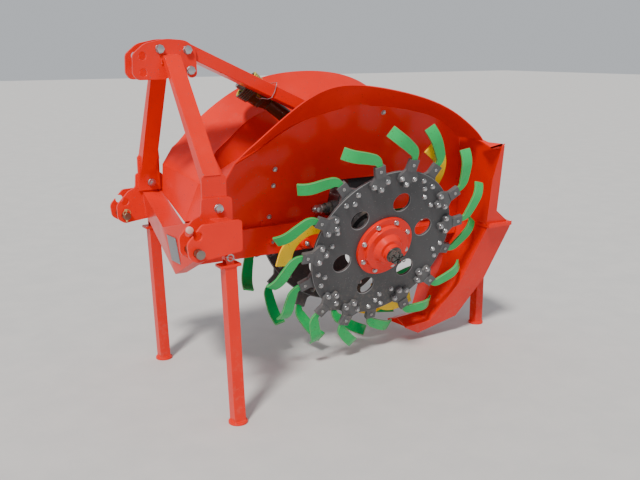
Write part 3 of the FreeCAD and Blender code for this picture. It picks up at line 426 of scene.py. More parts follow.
@dataclass
class Piece:
    """A bmesh on its way to a finished object."""

    name: str
    bm: bmesh.types.BMesh = field(default_factory=bmesh.new)

    @classmethod
    def of_node(cls, node: bpy.types.Object, name: str) -> "Piece":
        """Copy of a node's shape, its loose triangles joined and its flat faces made whole.

        Args:
            node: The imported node.
            name: The new piece's name.

        Returns:
            The copy.
        """
        piece = cls(name)
        piece.bm.from_mesh(node.data)
        bmesh.ops.remove_doubles(piece.bm, verts=piece.bm.verts, dist=MERGE_WITHIN)
        bmesh.ops.dissolve_limit(
            piece.bm, angle_limit=FLAT_WITHIN, verts=piece.bm.verts, edges=piece.bm.edges, delimit=set(),
        )
        return piece

    def bevel(self, edges: Iterable[bmesh.types.BMEdge], width: float) -> None:
        """Bevel some edges."""
        bmesh.ops.bevel(
            self.bm, geom=list(edges), offset=width, offset_type="OFFSET", affect="EDGES", segments=2,
            profile=0.5, material=-1,
        )

    def rod(
        self, start: Vector, end: Vector, radius: float, end_radius: float | None = None, segments: int = 24,
        chamfer: float = 0.0,
    ) -> "Piece":
        """Add a rod, cone or hexagon between two points.

        Args:
            start: Centre of its first end.
            end: Centre of its last end.
            radius: Radius at the first end.
            end_radius: Radius at the last end, if it differs.
            segments: Number of sides.
            chamfer: Width of the bevel round both ends.

        Returns:
            This piece.
        """
        axis = end - start
        made = bmesh.ops.create_cone(
            self.bm, cap_ends=True, segments=segments, radius1=radius,
            radius2=radius if end_radius is None else end_radius, depth=axis.length,
            matrix=standing((start + end) / 2.0, axis),
        )
        if chamfer > 0.0:
            caps = {f for v in made["verts"] for f in v.link_faces if len(f.verts) > 4}
            self.bevel({e for f in caps for e in f.edges}, chamfer)
        return self

    def add(self, other: "Piece", matrices: Iterable[Matrix]) -> "Piece":
        """Add copies of another piece, one for each matrix."""
        mesh = bpy.data.meshes.new("pattern")
        other.bm.to_mesh(mesh)
        for matrix in matrices:
            before = len(self.bm.verts)
            self.bm.from_mesh(mesh)
            self.bm.verts.ensure_lookup_table()
            bmesh.ops.transform(self.bm, matrix=matrix, verts=self.bm.verts[before:])
        bpy.data.meshes.remove(mesh)
        return self

    def weld(self, points: Sequence[Vector], radius: float = 0.0026, pitch: float = 0.0042) -> "Piece":
        """Add a weld bead: overlapping ripples along a line of points.

        Args:
            points: The line's corners.
            radius: Half the bead's width.
            pitch: Distance from one ripple to the next.

        Returns:
            This piece.
        """
        for start, end in zip(points, points[1:]):
            run = end - start
            count = max(2, round(run.length / pitch))
            for i in range(count):
                width = radius * (1.0 + 0.14 * math.sin(2.4 * i))
                size = Matrix.Diagonal((width, width, pitch * 0.85, 1.0))
                place = standing(start + run * ((i + 0.5) / count), run)
                bmesh.ops.create_icosphere(self.bm, subdivisions=2, radius=1.0, matrix=place @ size)
        return self

    def ring(
        self, centre: Vector, axis: Vector, radius: float, wire: float, sweep: float = 360.0,
    ) -> "Piece":
        """Add a ring of round wire.

        Args:
            centre: Its middle.
            axis: The way it faces.
            radius: Radius to the wire's centre.
            wire: Radius of the wire.
            sweep: Degrees of the ring that are there.

        Returns:
            This piece.
        """
        upright = Matrix.Rotation(math.pi / 2, 4, "X")
        verts = bmesh.ops.create_circle(self.bm, segments=10, radius=wire, matrix=upright)["verts"]
        bmesh.ops.translate(self.bm, vec=(radius, 0.0, 0.0), verts=verts)
        edges = list({e for v in verts for e in v.link_edges})
        full = sweep >= 360.0
        spun = bmesh.ops.spin(
            self.bm, geom=verts + edges, cent=Vector(), axis=UP, angle=math.radians(sweep), steps=36,
            use_merge=full, use_normal_flip=False, use_duplicate=False,
        )
        faces = {f for e in edges for f in e.link_faces}
        todo = list(faces)
        while todo:
            beside = {f for e in todo.pop().edges for f in e.link_faces} - faces
            faces |= beside
            todo.extend(beside)
        if not full:
            ends = edges + [g for g in spun["geom_last"] if isinstance(g, bmesh.types.BMEdge)]
            faces |= set(bmesh.ops.holes_fill(self.bm, edges=ends, sides=0)["faces"])
        bmesh.ops.recalc_face_normals(self.bm, faces=list(faces))
        whole = list({v for f in faces for v in f.verts})
        bmesh.ops.transform(self.bm, matrix=standing(centre, axis), verts=whole)
        return self

    def plate(
        self, corners: Sequence[Vector], normal: Vector, thickness: float, chamfer: float = 0.0,
    ) -> "Piece":
        """Add a flat plate.

        Args:
            corners: Its outline on its outer face.
            normal: The way that the outer face looks.
            thickness: How far it goes back from there.
            chamfer: Width of the bevel round the outer face.

        Returns:
            This piece.
        """
        verts = [self.bm.verts.new(p) for p in corners]
        face = self.bm.faces.new(verts)
        face.normal_update()
        if face.normal.dot(normal) < 0.0:
            face.normal_flip()
        back = bmesh.ops.extrude_face_region(self.bm, geom=[face])["geom"]
        moved = [g for g in back if isinstance(g, bmesh.types.BMVert)]
        bmesh.ops.translate(self.bm, vec=normal.normalized() * -thickness, verts=verts)
        shell = list({f for v in verts + moved for f in v.link_faces})
        bmesh.ops.recalc_face_normals(self.bm, faces=shell)
        if chamfer > 0.0:
            rim = {e for v in moved for e in v.link_edges}
            self.bevel([e for e in rim if all(v in moved for v in e.verts)], chamfer)
        return self

    def wire(self, points: Sequence[Vector], radius: float) -> "Piece":
        """Add a bent wire through points, with a ball at each bend."""
        for start, end in zip(points, points[1:]):
            self.rod(start, end, radius, segments=8)
            bmesh.ops.create_icosphere(self.bm, subdivisions=2, radius=radius, matrix=Matrix.Translation(end))
        return self

    def mirrored(self, name: str) -> "Piece":
        """Mirror image across the machine's middle plane, its faces turned back outwards."""
        other = Piece(name, self.bm.copy())
        bmesh.ops.scale(other.bm, vec=(1.0, -1.0, 1.0), verts=other.bm.verts)
        bmesh.ops.reverse_faces(other.bm, faces=other.bm.faces)
        return other

    def placed(self, *materials: bpy.types.Material) -> bpy.types.Object:
        """Object of the piece in the scene, with its materials."""
        mesh = bpy.data.meshes.new(self.name)
        self.bm.to_mesh(mesh)
        self.bm.free()
        for material in materials:
            mesh.materials.append(material)
        made = bpy.data.objects.new(self.name, mesh)
        bpy.context.scene.collection.objects.link(made)
        return made

    def done(
        self, body: str, *finishes: Finish, stands_for: Sequence[str] = (), bevel: float = 0.0,
        edge_slot: int = -1,
    ) -> None:
        """Turn the piece into an object of the machine.

        Args:
            body: The body that it moves with.
            *finishes: Its materials, each paired with a record slot that is not used here.
            stands_for: Nodes that it replaces.
            bevel: Width of the rounding on its sharp edges.
            edge_slot: Material slot of the rounded edges, or -1 for that of their faces.
        """
        made = self.placed(*(material for material, _ in finishes))
        made.data.shade_smooth()
        made.data.set_sharp_from_angle(angle=SMOOTH_WITHIN)
        if bevel > 0.0:
            rounding = made.modifiers.new("rounding", "BEVEL")
            rounding.width = bevel
            rounding.segments = 2
            rounding.limit_method = "ANGLE"
            rounding.angle_limit = SMOOTH_WITHIN
            rounding.material = edge_slot
            rounding.miter_outer = "MITER_ARC"
            made.modifiers.new("shading", "WEIGHTED_NORMAL").keep_sharp = False
        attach(made, body)
        if stands_for:
            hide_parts(*stands_for)
        LOG.info("%s rides on %s", self.name, body)


@dataclass
class Machine:
    """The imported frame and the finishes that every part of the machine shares."""

    frame: dict
    finishes: Finishes

    def joint(self, name: str) -> dict:
        """A joint of the record."""
        return next(j for j in self.frame["joints"] if j["name"] == name)

    @property
    def feet_x(self) -> float:
        """X of the front feet, from which places along the machine are counted."""
        mounts = self.frame["record"]["mounts"]
        return next(m["pos_m"][0] for m in mounts if m["name"] == "foot_front_left")

    def wheel_place(self) -> Matrix:
        """Matrix from the left wheel's frame, X forward, Y out along the shaft, Z up, to the machine's."""
        joint = self.joint("wheel_left_spin")
        axis = Vector(joint["axis"]).normalized()
        tilt = Matrix.Rotation(math.atan2(axis.z, axis.y), 4, "X")
        return Matrix.Translation(Vector(joint["pos_m"])) @ tilt


@dataclass
class Part:
    """A part of the machine, with short ways to what it shares with the others."""

    machine: Machine

    @property
    def look(self) -> Finishes:
        """The machine's finishes."""
        return self.machine.finishes

    def at(self, x: float, y: float, z: float) -> Vector:
        """Place counted from the front feet."""
        return Vector((self.machine.feet_x + x, y, z))

    def beside_wheel(self, level: float, rows: Iterable[Pair]) -> list[Vector]:
        """Places at one level of the left wheel's frame, from their forward and up distances."""
        place = self.machine.wheel_place()
        return [place @ Vector((forward, level, up)) for forward, up in rows]

    def both(self, piece: Piece, finish: Finish) -> None:
        """Finish a piece of the frame's left side and its mirror image on the right."""
        name = piece.name
        piece.mirrored(name + "_right").done("frame", finish)
        piece.name = name + "_left"
        piece.done("frame", finish)

    def remade(self, name: str) -> Piece:
        """Copy of a node's shape that is to stand for the node."""
        return Piece.of_node(self.machine.frame["nodes"][name], name + "_dressed")

    def dress(
        self, name: str, body: str, *finishes: Finish, bevel: float = 0.0012, edge_slot: int = -1,
    ) -> None:
        """Re-make one node with rounded edges.

        Args:
            name: The node.
            body: The body that it moves with.
            *finishes: Its finishes.
            bevel: Width of the rounding.
            edge_slot: Which finish the rounding shows, or -1 for that of its faces.
        """
        self.remade(name).done(body, *finishes, stands_for=(name,), bevel=bevel, edge_slot=edge_slot)


@dataclass(frozen=True)
class Fastener:
    """Hexagon head or nut on a washer, with a crowned top or the end of its thread."""

    across: float
    height: float
    washer: float = 0.0
    washer_t: float = 0.0014
    crown: float = 0.0
    thread: float = 0.0

    def pattern(self) -> Piece:
        """The fastener at the origin, standing up along Z."""
        piece = Piece("fastener")
        seat = self.washer_t
        top = seat + self.height
        corner = self.across / math.sqrt(3.0)
        if self.washer > 0.0:
            piece.rod(Vector(), UP * seat, self.washer, self.washer * 0.94, segments=18)
        piece.rod(UP * seat, UP * top, corner, segments=6, chamfer=self.across * 0.06)
        if self.crown > 0.0:
            piece.rod(UP * top, UP * (top + self.crown), corner * 0.84, corner * 0.5, segments=18)
        if self.thread > 0.0:
            piece.rod(UP * top, UP * (top + self.thread), self.across * 0.30, segments=12, chamfer=0.0006)
        return piece


@dataclass(frozen=True)
class SocketScrew:
    """Low round head with a hexagon recess."""

    radius: float = 0.0062
    height: float = 0.0026

    def pattern(self) -> Piece:
        """The head at the origin, standing up along Z."""
        piece = Piece("screw").rod(UP * -0.001, UP * self.height, self.radius, self.radius * 0.9, segments=18)
        top = max(piece.bm.faces, key=lambda f: f.calc_center_median().z)
        bmesh.ops.inset_individual(piece.bm, faces=[top], thickness=self.radius * 0.42, depth=0.0)
        bmesh.ops.inset_individual(piece.bm, faces=[top], thickness=0.0002, depth=-self.height * 0.7)
        return piece


FLANGE_NUT = Fastener(0.0142, 0.0050, 0.0098, crown=0.0026)
BACK_NUT = Fastener(0.0150, 0.0070, 0.0090, thread=0.0035)
HUB_BOLT = Fastener(0.0150, 0.0054, 0.0102, crown=0.0024)
HOOD_BOLT = Fastener(0.0130, 0.0052, 0.0095, crown=0.0015)
LARGE_BOLT = Fastener(0.0240, 0.0095, 0.0150, 0.0026)
LARGE_NUT = Fastener(0.0240, 0.0125, 0.0150, 0.0026, thread=0.0060)
CASE_BOLT = Fastener(0.0130, 0.0075)
TOWER_PLUG = Fastener(0.022, 0.009, 0.015, crown=0.006)
SOCKET_SCREW = SocketScrew()


@dataclass
class CutterWheel(Part):
    """Both canted wheels, from the left one in its own frame: X forward, Y out along the shaft, Z up."""

    holders: int = 15
    first_angle: float = -41.8
    right_phase: float = 12.0
    back_every: int = 3
    disc_t: float = 0.010
    holder_t: float = 0.012
    socket_t: float = 0.016
    foot_bolts: tuple[Pair, ...] = ((-0.028, 0.277), (0.028, 0.277), (0.0, 0.255))
    socket_bolt_r: float = 0.332
    hub_bolts: int = 8
    hub_bolt_first: float = 0.3
    hub_bolt_r: float = 0.101
    hub_flange_t: float = 0.014
    paddles: int = 3
    paddle_first: float = -76.5
    paddle_bolt: Pair = (0.027, 0.230)
    paddle_back: float = 0.034
    nut_seat: float = 0.070
    nut_washer: Point = (-0.002, 0.0025, 0.0315)
    cotter_out: float = 0.024
    cotter_turn: float = 25.0
    cotter_shank: Point = (-0.031, 0.034, 0.0026)
    cotter_eye: Point = (-0.036, 0.0055, 0.0017)
    cotter_knee: float = 0.036
    cotter_leg: Point = (-0.006, 0.002, 0.016)
    cotter_wire: float = 0.0016

    def turned(self, angle: float) -> Matrix:
        """Turn from the wheel's top towards the rear, in degrees."""
        return Matrix.Rotation(math.radians(-angle), 4, "Y")

    def places(self, phase: float) -> dict[str, list[Matrix]]:
        """Where the left wheel's fasteners stand, in the wheel's own frame, no two turned alike.

        Args:
            phase: Turn of the whole wheel, in degrees.

        Returns:
            Matrices by kind: nuts in front, nuts behind, socket screws, hub bolts.
        """
        found: dict[str, list[Matrix]] = {"fronts": [], "backs": [], "sockets": [], "hub": []}

        def put(kind: str, turn: Matrix, spot: Point, spin: float = 0.0) -> None:
            """Stand one fastener at a spot of the turned wheel."""
            axis = -OUT if kind == "backs" else OUT
            found[kind].append(turn @ standing(Vector(spot), axis, spin))

        for k in range(self.holders):
            turn = self.turned(self.first_angle + phase + 360.0 / self.holders * k)
            behind = k % self.back_every == 0
            front = 0.0 if behind else self.holder_t
            back = -self.disc_t - (self.holder_t if behind else 0.0)
            for i, (across, radial) in enumerate(self.foot_bolts):
                put("fronts", turn, (across, front, radial), 0.7 * k + i)
                put("backs", turn, (across, back, radial), 0.9 * k + i)
            put("sockets", turn, (0.0, -self.disc_t if behind else self.socket_t, self.socket_bolt_r))
        across, radial = self.paddle_bolt
        for k in range(self.paddles):
            turn = self.turned(self.paddle_first + phase + 360.0 / self.paddles * k)
            for s in (1, -1):
                put("fronts", turn, (s * across, 0.0, radial), k + s)
                put("backs", turn, (s * across, -self.disc_t - self.paddle_back, radial), k - s)
        for k in range(self.hub_bolts):
            turn = self.turned(phase + 360.0 / self.hub_bolts * (k + self.hub_bolt_first))
            put("hub", turn, (0.0, self.hub_flange_t, self.hub_bolt_r), 0.3 * k)
        return found

    def cotter(self) -> Piece:
        """Split pin through the slotted nut, and the washer under the nut."""
        level = self.nut_seat + self.cotter_out
        tail, head, radius = self.cotter_shank
        piece = Piece("cotter")
        piece.rod(Vector((tail, level, 0.0)), Vector((head, level, 0.0)), radius, segments=10, chamfer=0.0006)
        eye, eye_r, wire = self.cotter_eye
        piece.ring(Vector((eye, level, 0.0)), OUT, eye_r, wire)
        knee = Vector((self.cotter_knee, level, 0.0))
        back, out, apart = self.cotter_leg
        for bend in (apart, -apart):
            piece.wire([knee, knee + Vector((back, out, bend))], self.cotter_wire)
        under, over, radius = self.nut_washer
        low, high = OUT * (self.nut_seat + under), OUT * (self.nut_seat + over)
        piece.rod(low, high, radius, segments=40, chamfer=0.0008)
        return piece

    def fittings(self, side: Side) -> None:
        """Bolts, nuts, screws and cotter of one wheel."""
        look = self.look
        places = self.places(0.0 if side is Side.LEFT else self.right_phase)
        cotter = [self.turned(self.cotter_turn)]
        heads = Piece("wheel_bolts_").add(FLANGE_NUT.pattern(), places["fronts"])
        heads.add(HUB_BOLT.pattern(), places["hub"])
        pieces = (
            (heads, look.zinc),
            (Piece("wheel_back_nuts_").add(BACK_NUT.pattern(), places["backs"]), look.zinc),
            (Piece("wheel_socket_screws_").add(SOCKET_SCREW.pattern(), places["sockets"]), look.worn_zinc),
            (Piece("wheel_cotter_").add(self.cotter(), cotter), look.dark_steel),
        )
        for piece, finish in pieces:
            piece.name += side.word
            bmesh.ops.transform(piece.bm, matrix=self.machine.wheel_place(), verts=piece.bm.verts)
            if side is Side.RIGHT:
                piece = piece.mirrored(piece.name)
            piece.done("wheel_" + side.word, finish)

    def build(self) -> None:
        """Make both wheels."""
        look = self.look
        parts = (
            ("wheel_disc_", (look.disc, look.disc_edge), 0.0018),
            ("wheel_hub_", (look.paint,), 0.0015),
            ("wheel_shaft_nut_", (look.forging,), 0.0014),
            ("wheel_knife_holders_", (look.holder, look.disc_edge), 0.0016),
            ("wheel_knives_", (look.knife, look.knife_edge), 0.0012),
            ("wheel_paddles_", (look.paddle, look.paddle_edge), 0.0012),
        )
        for side in Side:
            self.fittings(side)
        for side in Side:
            for name, finishes, bevel in parts:
                edge = 1 if len(finishes) > 1 else -1
                self.dress(name + side.word, "wheel_" + side.word, *finishes, bevel=bevel, edge_slot=edge)


@dataclass
class Headstock(Part):
    """Fasteners, welds and fittings of the hitch plates, posts and top plates, placed from the front feet."""

    ear_bolt: Pair = (0.033, 0.710)
    ear_out: float = 0.303
    ear_in: float = 0.283
    top_bolts: tuple[Pair, ...] = ((0.100, 1.188), (0.006, 1.185), (-0.003, 1.120))
    top_out: float = 0.040
    pin: Pair = (0.136, 0.596)
    shank_end: float = 0.3985
    cap: Point = (0.3953, 0.3998, 0.0143)
    linch_y: float = 0.275
    linch_shank: Point = (-0.021, 0.024, 0.0042)
    linch_head: Point = (0.018, 0.026, 0.0075)
    linch_ring: Point = (0.0, -0.006, 0.012)
    linch_ring_r: float = 0.0130
    linch_wire: float = 0.0016
    bush: Pair = (0.133, 0.654)
    bush_ends: Pair = (0.302, 0.315)
    bush_r: float = 0.0112
    beads: tuple[tuple[Point, ...], ...] = (
        ((0.008, 0.3035, 0.6785), (0.062, 0.3035, 0.6785)),
        ((0.008, 0.3615, 0.6785), (0.062, 0.3615, 0.6785)),
        ((-0.006, 0.2925, 0.677), (0.066, 0.2925, 0.679), (0.055, 0.2925, 0.582)),
        ((0.038, 0.0405, 1.1685), (0.094, 0.0405, 1.1685), (0.0935, 0.0405, 1.140)),
        ((0.038, 0.0405, 1.1685), (0.0375, 0.0405, 1.140)),
        ((-0.0245, 0.031, 1.187), (-0.0245, 0.031, 1.152)),
    )
    post_bead: tuple[Point, Point] = ((0.074, 0.2935, 0.8125), (0.0185, 0.2935, 0.8125))
    post_bead_r: float = 0.0022
    beam_face: tuple[Point, Point, Point] = ((0.103, 0.0, 0.602), (0.066, 0.0, 0.432), (0.055, 0.293, 0.582))
    sign_place: Point = (0.104, 0.038, 0.0016)
    sign_turn: float = -7.0
    sign_half: Pair = (0.028, 0.049)
    sign_t: float = 0.0030
    rivet_inset: float = 0.005
    rivet: Point = (0.0012, 0.0030, 0.0016)

    def bolts(self) -> None:
        """Ear bolts, and the bolts through the top plates."""
        x, z = self.ear_bolt
        heads = Piece("ear_bolt").add(LARGE_BOLT.pattern(), [standing(self.at(x, self.ear_out, z), OUT, 0.3)])
        heads.add(LARGE_NUT.pattern(), [standing(self.at(x, self.ear_in, z), -OUT, 0.8)])
        self.both(heads, self.look.zinc)
        through = Piece("top_plate_bolts")
        for i, (x, z) in enumerate(self.top_bolts):
            through.add(LARGE_BOLT.pattern(), [standing(self.at(x, self.top_out, z), OUT, 0.5 + i)])
            through.add(LARGE_NUT.pattern(), [standing(self.at(x, -self.top_out, z), -OUT, 0.2 + i)])
        through.done("frame", self.look.zinc)

    def pins(self) -> None:
        """Hitch pins with their caps and linch pins, and the bush in the left outer plate's hole."""
        for side in Side:
            node = "hitch_pin_" + side.word
            shank = self.remade(node)
            for vert in shank.bm.verts:
                vert.co.y = max(-self.shank_end, min(self.shank_end, vert.co.y))
            shank.done("frame", self.look.steel, stands_for=(node,), bevel=0.001)
        x, z = self.pin
        start, end, radius = self.cap
        cap = Piece("hitch_pin_cap")
        cap.rod(self.at(x, start, z), self.at(x, end, z), radius, segments=32, chamfer=0.0016)
        self.both(cap, self.look.pin_end)
        centre = self.at(x, self.linch_y, z)
        clip = Piece("hitch_linch_pin")
        parts = ((self.linch_shank, 14, 0.0012), (self.linch_head, 16, 0.0015))
        for (low, high, radius), sides, chamfer in parts:
            clip.rod(centre + UP * low, centre + UP * high, radius, segments=sides, chamfer=chamfer)
        clip.ring(centre + Vector(self.linch_ring), OUT, self.linch_ring_r, self.linch_wire)
        self.both(clip, self.look.brass)
        x, z = self.bush
        start, end = self.bush_ends
        bush = Piece("hitch_collar")
        bush.rod(self.at(x, start, z), self.at(x, end, z), self.bush_r, segments=28, chamfer=0.0020)
        # The collar's pale pink finish is a painted highlight of a sunlit face.
        bush.done("frame", self.look.primer)

    def welds(self) -> None:
        """Weld beads of both sides."""
        bead = Piece("headstock_welds")
        for line in self.beads:
            bead.weld([self.at(*p) for p in line])
        bead.weld([self.at(*p) for p in self.post_bead], self.post_bead_r)
        self.both(bead, self.look.paint)

    def sign(self) -> None:
        """Blank plate with four rivets on the cross beam's left front face, beside its nose."""
        top, low, end = (self.at(*p) for p in self.beam_face)
        normal = (low - top).cross(end - low).normalized()
        if normal.x < 0.0:
            normal.negate()
        slope = (top - low).normalized()
        up = Matrix.Rotation(math.radians(self.sign_turn), 3, normal) @ slope
        side = up.cross(normal)
        if side.y < 0.0:
            side.negate()
        raised, across, proud = self.sign_place
        centre = low + slope * raised + side * across + normal * proud
        half_w, half_h = self.sign_half

        def corners(inset: float) -> list[Vector]:
            """The plate's corners, or places that far inside them."""
            return [centre + side * (half_w - inset) * a + up * (half_h - inset) * b for a, b in SQUARE]

        plate = Piece("blank_plate").plate(corners(0.0), normal, self.sign_t, 0.0004)
        plate.done("frame", self.look.sign)
        height, radius, top_r = self.rivet
        pattern = Piece("rivet").rod(Vector(), UP * height, radius, top_r, segments=12)
        rivets = Piece("blank_plate_rivets")
        rivets.add(pattern, [standing(p, normal) for p in corners(self.rivet_inset)])
        rivets.done("frame", self.look.zinc)

    def build(self) -> None:
        """Make all of it."""
        self.bolts()
        self.pins()
        self.welds()
        self.sign()


@dataclass
class Hoods(Part):
    """Bolts, tabs and seams of the hoods, most of them in the left wheel's frame: forward, up."""

    plate_out: float = -0.190
    plate_in: float = -0.194
    bolts: tuple[Pair, ...] = (
        (0.396, 0.251), (0.392, 0.187), (0.389, 0.062), (-0.015, 0.443), (0.610, 0.190), (-0.325, 0.262),
    )
    tab_out: float = -0.1865
    tab_t: float = 0.0035
    tab_bolt: Pair = (0.397, 0.011)
    tab: tuple[Pair, ...] = ((0.374, 0.046), (0.420, 0.046), (0.420, -0.006), (0.374, -0.006))
    seam: tuple[Point, ...] = ((0.020, 0.002, 0.613), (-0.035, 0.002, 0.740), (-0.085, 0.002, 0.778))
    seam_r: float = 0.0030

    def build(self) -> None:
        """Make bolts, tabs and welds of both hoods."""
        place = self.machine.wheel_place()
        heads = [place @ standing(Vector((fw, self.plate_out, up)), OUT, fw * 9.0) for fw, up in self.bolts]
        nuts = [place @ standing(Vector((fw, self.plate_in, up)), -OUT, up * 9.0) for fw, up in self.bolts]
        fw, up = self.tab_bolt
        heads.append(place @ standing(Vector((fw, self.tab_out, up)), OUT, 0.5))
        corners = self.beside_wheel(self.tab_out, self.tab)
        tab = Piece("hood_tab").plate(corners, place.to_3x3() @ OUT, self.tab_t, 0.0008)
        self.both(tab, self.look.paint)
        piece = Piece("hood_bolts").add(HOOD_BOLT.pattern(), heads).add(BACK_NUT.pattern(), nuts)
        self.both(piece, self.look.zinc)
        self.both(Piece("hood_welds").weld([self.at(*p) for p in self.seam], self.seam_r), self.look.paint)


@dataclass
class Drive(Part):
    """Gearbox fittings, studs before it, the drive shaft's guard rings and the wire that ties it up."""

    stud_foot: Point = (0.035, 0.072, 0.617)
    block: tuple[Step, ...] = ((0.000, 0.032, 0.0250, 28), (0.044, 0.056, 0.0200, 28))
    collar: tuple[Step, ...] = ((0.031, 0.045, 0.0215, 6), (0.055, 0.075, 0.0165, 24))
    nuts: tuple[Step, ...] = (
        (0.074, 0.078, 0.0185, 28), (0.078, 0.100, 0.0165, 6), (0.099, 0.110, 0.0080, 16),
    )
    boss: Point = (0.172, 0.082, 0.497)
    boss_r: Pair = (0.021, 0.019)
    lug: Point = (0.305, 0.064, 0.5145)
    lug_r: float = 0.011
    beam_side: float = 0.054
    housing_flange: float = -0.104
    housing_bolt_r: float = 0.073
    housing_bolts: int = 6
    case_front: float = 0.0365
    plug_y: float = 0.052
    plug_levels: Pair = (0.470, 0.560)
    tower_x: float = -0.100
    tower_drop: float = 0.030
    tower_slope: Point = (-0.41, 0.0, 0.91)
    front: Point = (0.318, -0.095, 1.06354)
    rear: Point = (0.047, -0.008, 0.83405)
    ribs: int = 5
    lock_rings: tuple[Point, ...] = (
        (0.0700, 0.0425, 0.0020), (0.0790, 0.0405, 0.0018), (0.1060, 0.0285, 0.0020),
    )
    push_pin: tuple[float, ...] = (0.012, 0.024, 0.0385, 0.0075, 0.0065)
    yoke_ring: Point = (0.0235, 0.0262, 0.0030)
    caps: int = 4
    cap: tuple[float, ...] = (0.010, 0.024, 0.036, 0.0062)
    cap_first: float = 1.2
    wire_points: tuple[Point, ...] = (
        (0.300, -0.060, 1.022), (0.318, 0.010, 1.0185), (0.3227, 0.0335, 1.0215), (0.2994, 0.0335, 1.0174),
        (0.2836, 0.0335, 1.0221), (0.2715, 0.0335, 1.0406), (0.2633, 0.0335, 1.0665), (0.255, 0.0200, 1.0720),
        (0.250, -0.034, 1.0680), (0.262, -0.064, 1.0560),
    )
    wire_r: float = 0.0014

    def studs(self) -> None:
        """Stepped black block, dark collars and bright nuts with a stud, before the gearbox's front face."""
        look = self.look
        foot = Vector(self.stud_foot)
        groups = (
            ("stud_block", look.casting, self.block), ("stud_collar", look.dark_steel, self.collar),
            ("stud_nuts", look.zinc, self.nuts),
        )
        for name, finish, steps in groups:
            group = Piece(name)
            for start, end, radius, sides in steps:
                group.rod(foot + ALONG * start, foot + ALONG * end, radius, segments=sides, chamfer=0.0012)
            self.both(group, finish)

    def beam_fittings(self) -> None:
        """Boss with a bolt, and a lug, on the centre beam's side."""
        boss, lug = Vector(self.boss), Vector(self.lug)
        base, end = self.boss_r
        fitting = Piece("beam_boss")
        fitting.rod(Vector((boss.x, self.beam_side, boss.z)), boss, base, end, segments=36, chamfer=0.0015)
        fitting.rod(Vector((lug.x, self.beam_side, lug.z)), lug, self.lug_r, segments=28, chamfer=0.0012)
        self.both(fitting, self.look.paint)
        bolt = Piece("beam_bolt").add(FLANGE_NUT.pattern(), [standing(boss, OUT, 0.4)])
        bolt.add(SOCKET_SCREW.pattern(), [standing(lug - OUT * 0.0005, OUT)])
        self.both(bolt, self.look.zinc)

    def case_bolts(self) -> None:
        """Bolts round the axle housings' flanges, on the gearbox's front face, and the tower's plug."""
        place = self.machine.wheel_place()
        spot = Vector((0.0, self.housing_flange, self.housing_bolt_r))
        ring = []
        for k in range(self.housing_bolts):
            turn = Matrix.Rotation(math.tau / self.housing_bolts * (k + 0.25), 4, "Y")
            ring.append(place @ turn @ standing(spot, OUT, 0.4 * k))
        self.both(Piece("housing_bolts").add(CASE_BOLT.pattern(), ring), self.look.dark_steel)
        spots = [Vector((self.case_front, a * self.plug_y, b)) for a in (1, -1) for b in self.plug_levels]
        plugs = Piece("gearbox_plugs").add(CASE_BOLT.pattern(), [standing(p, ALONG, 0.3) for p in spots])
        top = Vector((self.tower_x, 0.0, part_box("gearbox")[1][2] - self.tower_drop))
        plugs.add(TOWER_PLUG.pattern(), [standing(top, Vector(self.tower_slope).normalized())])
        plugs.done("frame", self.look.dark_steel)

    def guard_rings(self) -> None:
        """Lip, ribs and lock rings of the guard, the yoke's push pin and caps, and the tie wire."""
        front = Vector(self.front)
        along = (Vector(self.rear) - front).normalized()
        side = along.cross(UP).normalized()
        rings = Piece("guard_rings")
        rows = [(0.0015 + 0.008 * k, 0.0530 - 0.0011 * k, 0.0042) for k in range(self.ribs)]
        for reach, radius, wire in (*rows, *self.lock_rings):
            rings.ring(front + along * reach, along, radius, wire)
        rings.done("frame", self.look.guard)
        pin = Piece("yoke_push_pin")
        before, start, end, radius, end_r = self.push_pin
        seat = front - along * before
        pin.rod(seat - side * start, seat - side * end, radius, end_r, segments=20, chamfer=0.0012)
        before, radius, wire = self.yoke_ring
        pin.ring(front - along * before, along, radius, wire)
        behind, start, end, radius = self.cap
        seat = front + along * behind
        for k in range(self.caps):
            turn = self.cap_first + 1.57 * k
            spoke = side * math.cos(turn) + along.cross(side) * math.sin(turn)
            pin.rod(seat + spoke * start, seat + spoke * end, radius, segments=14, chamfer=0.0010)
        pin.done("frame", self.look.worn_zinc)
        tie = Piece("tie_wire").wire([Vector(p) for p in self.wire_points], self.wire_r)
        tie.done("frame", self.look.zinc)

    def build(self) -> None:
        """Make all of it."""
        self.studs()
        self.beam_fittings()
        self.case_bolts()
        self.guard_rings()


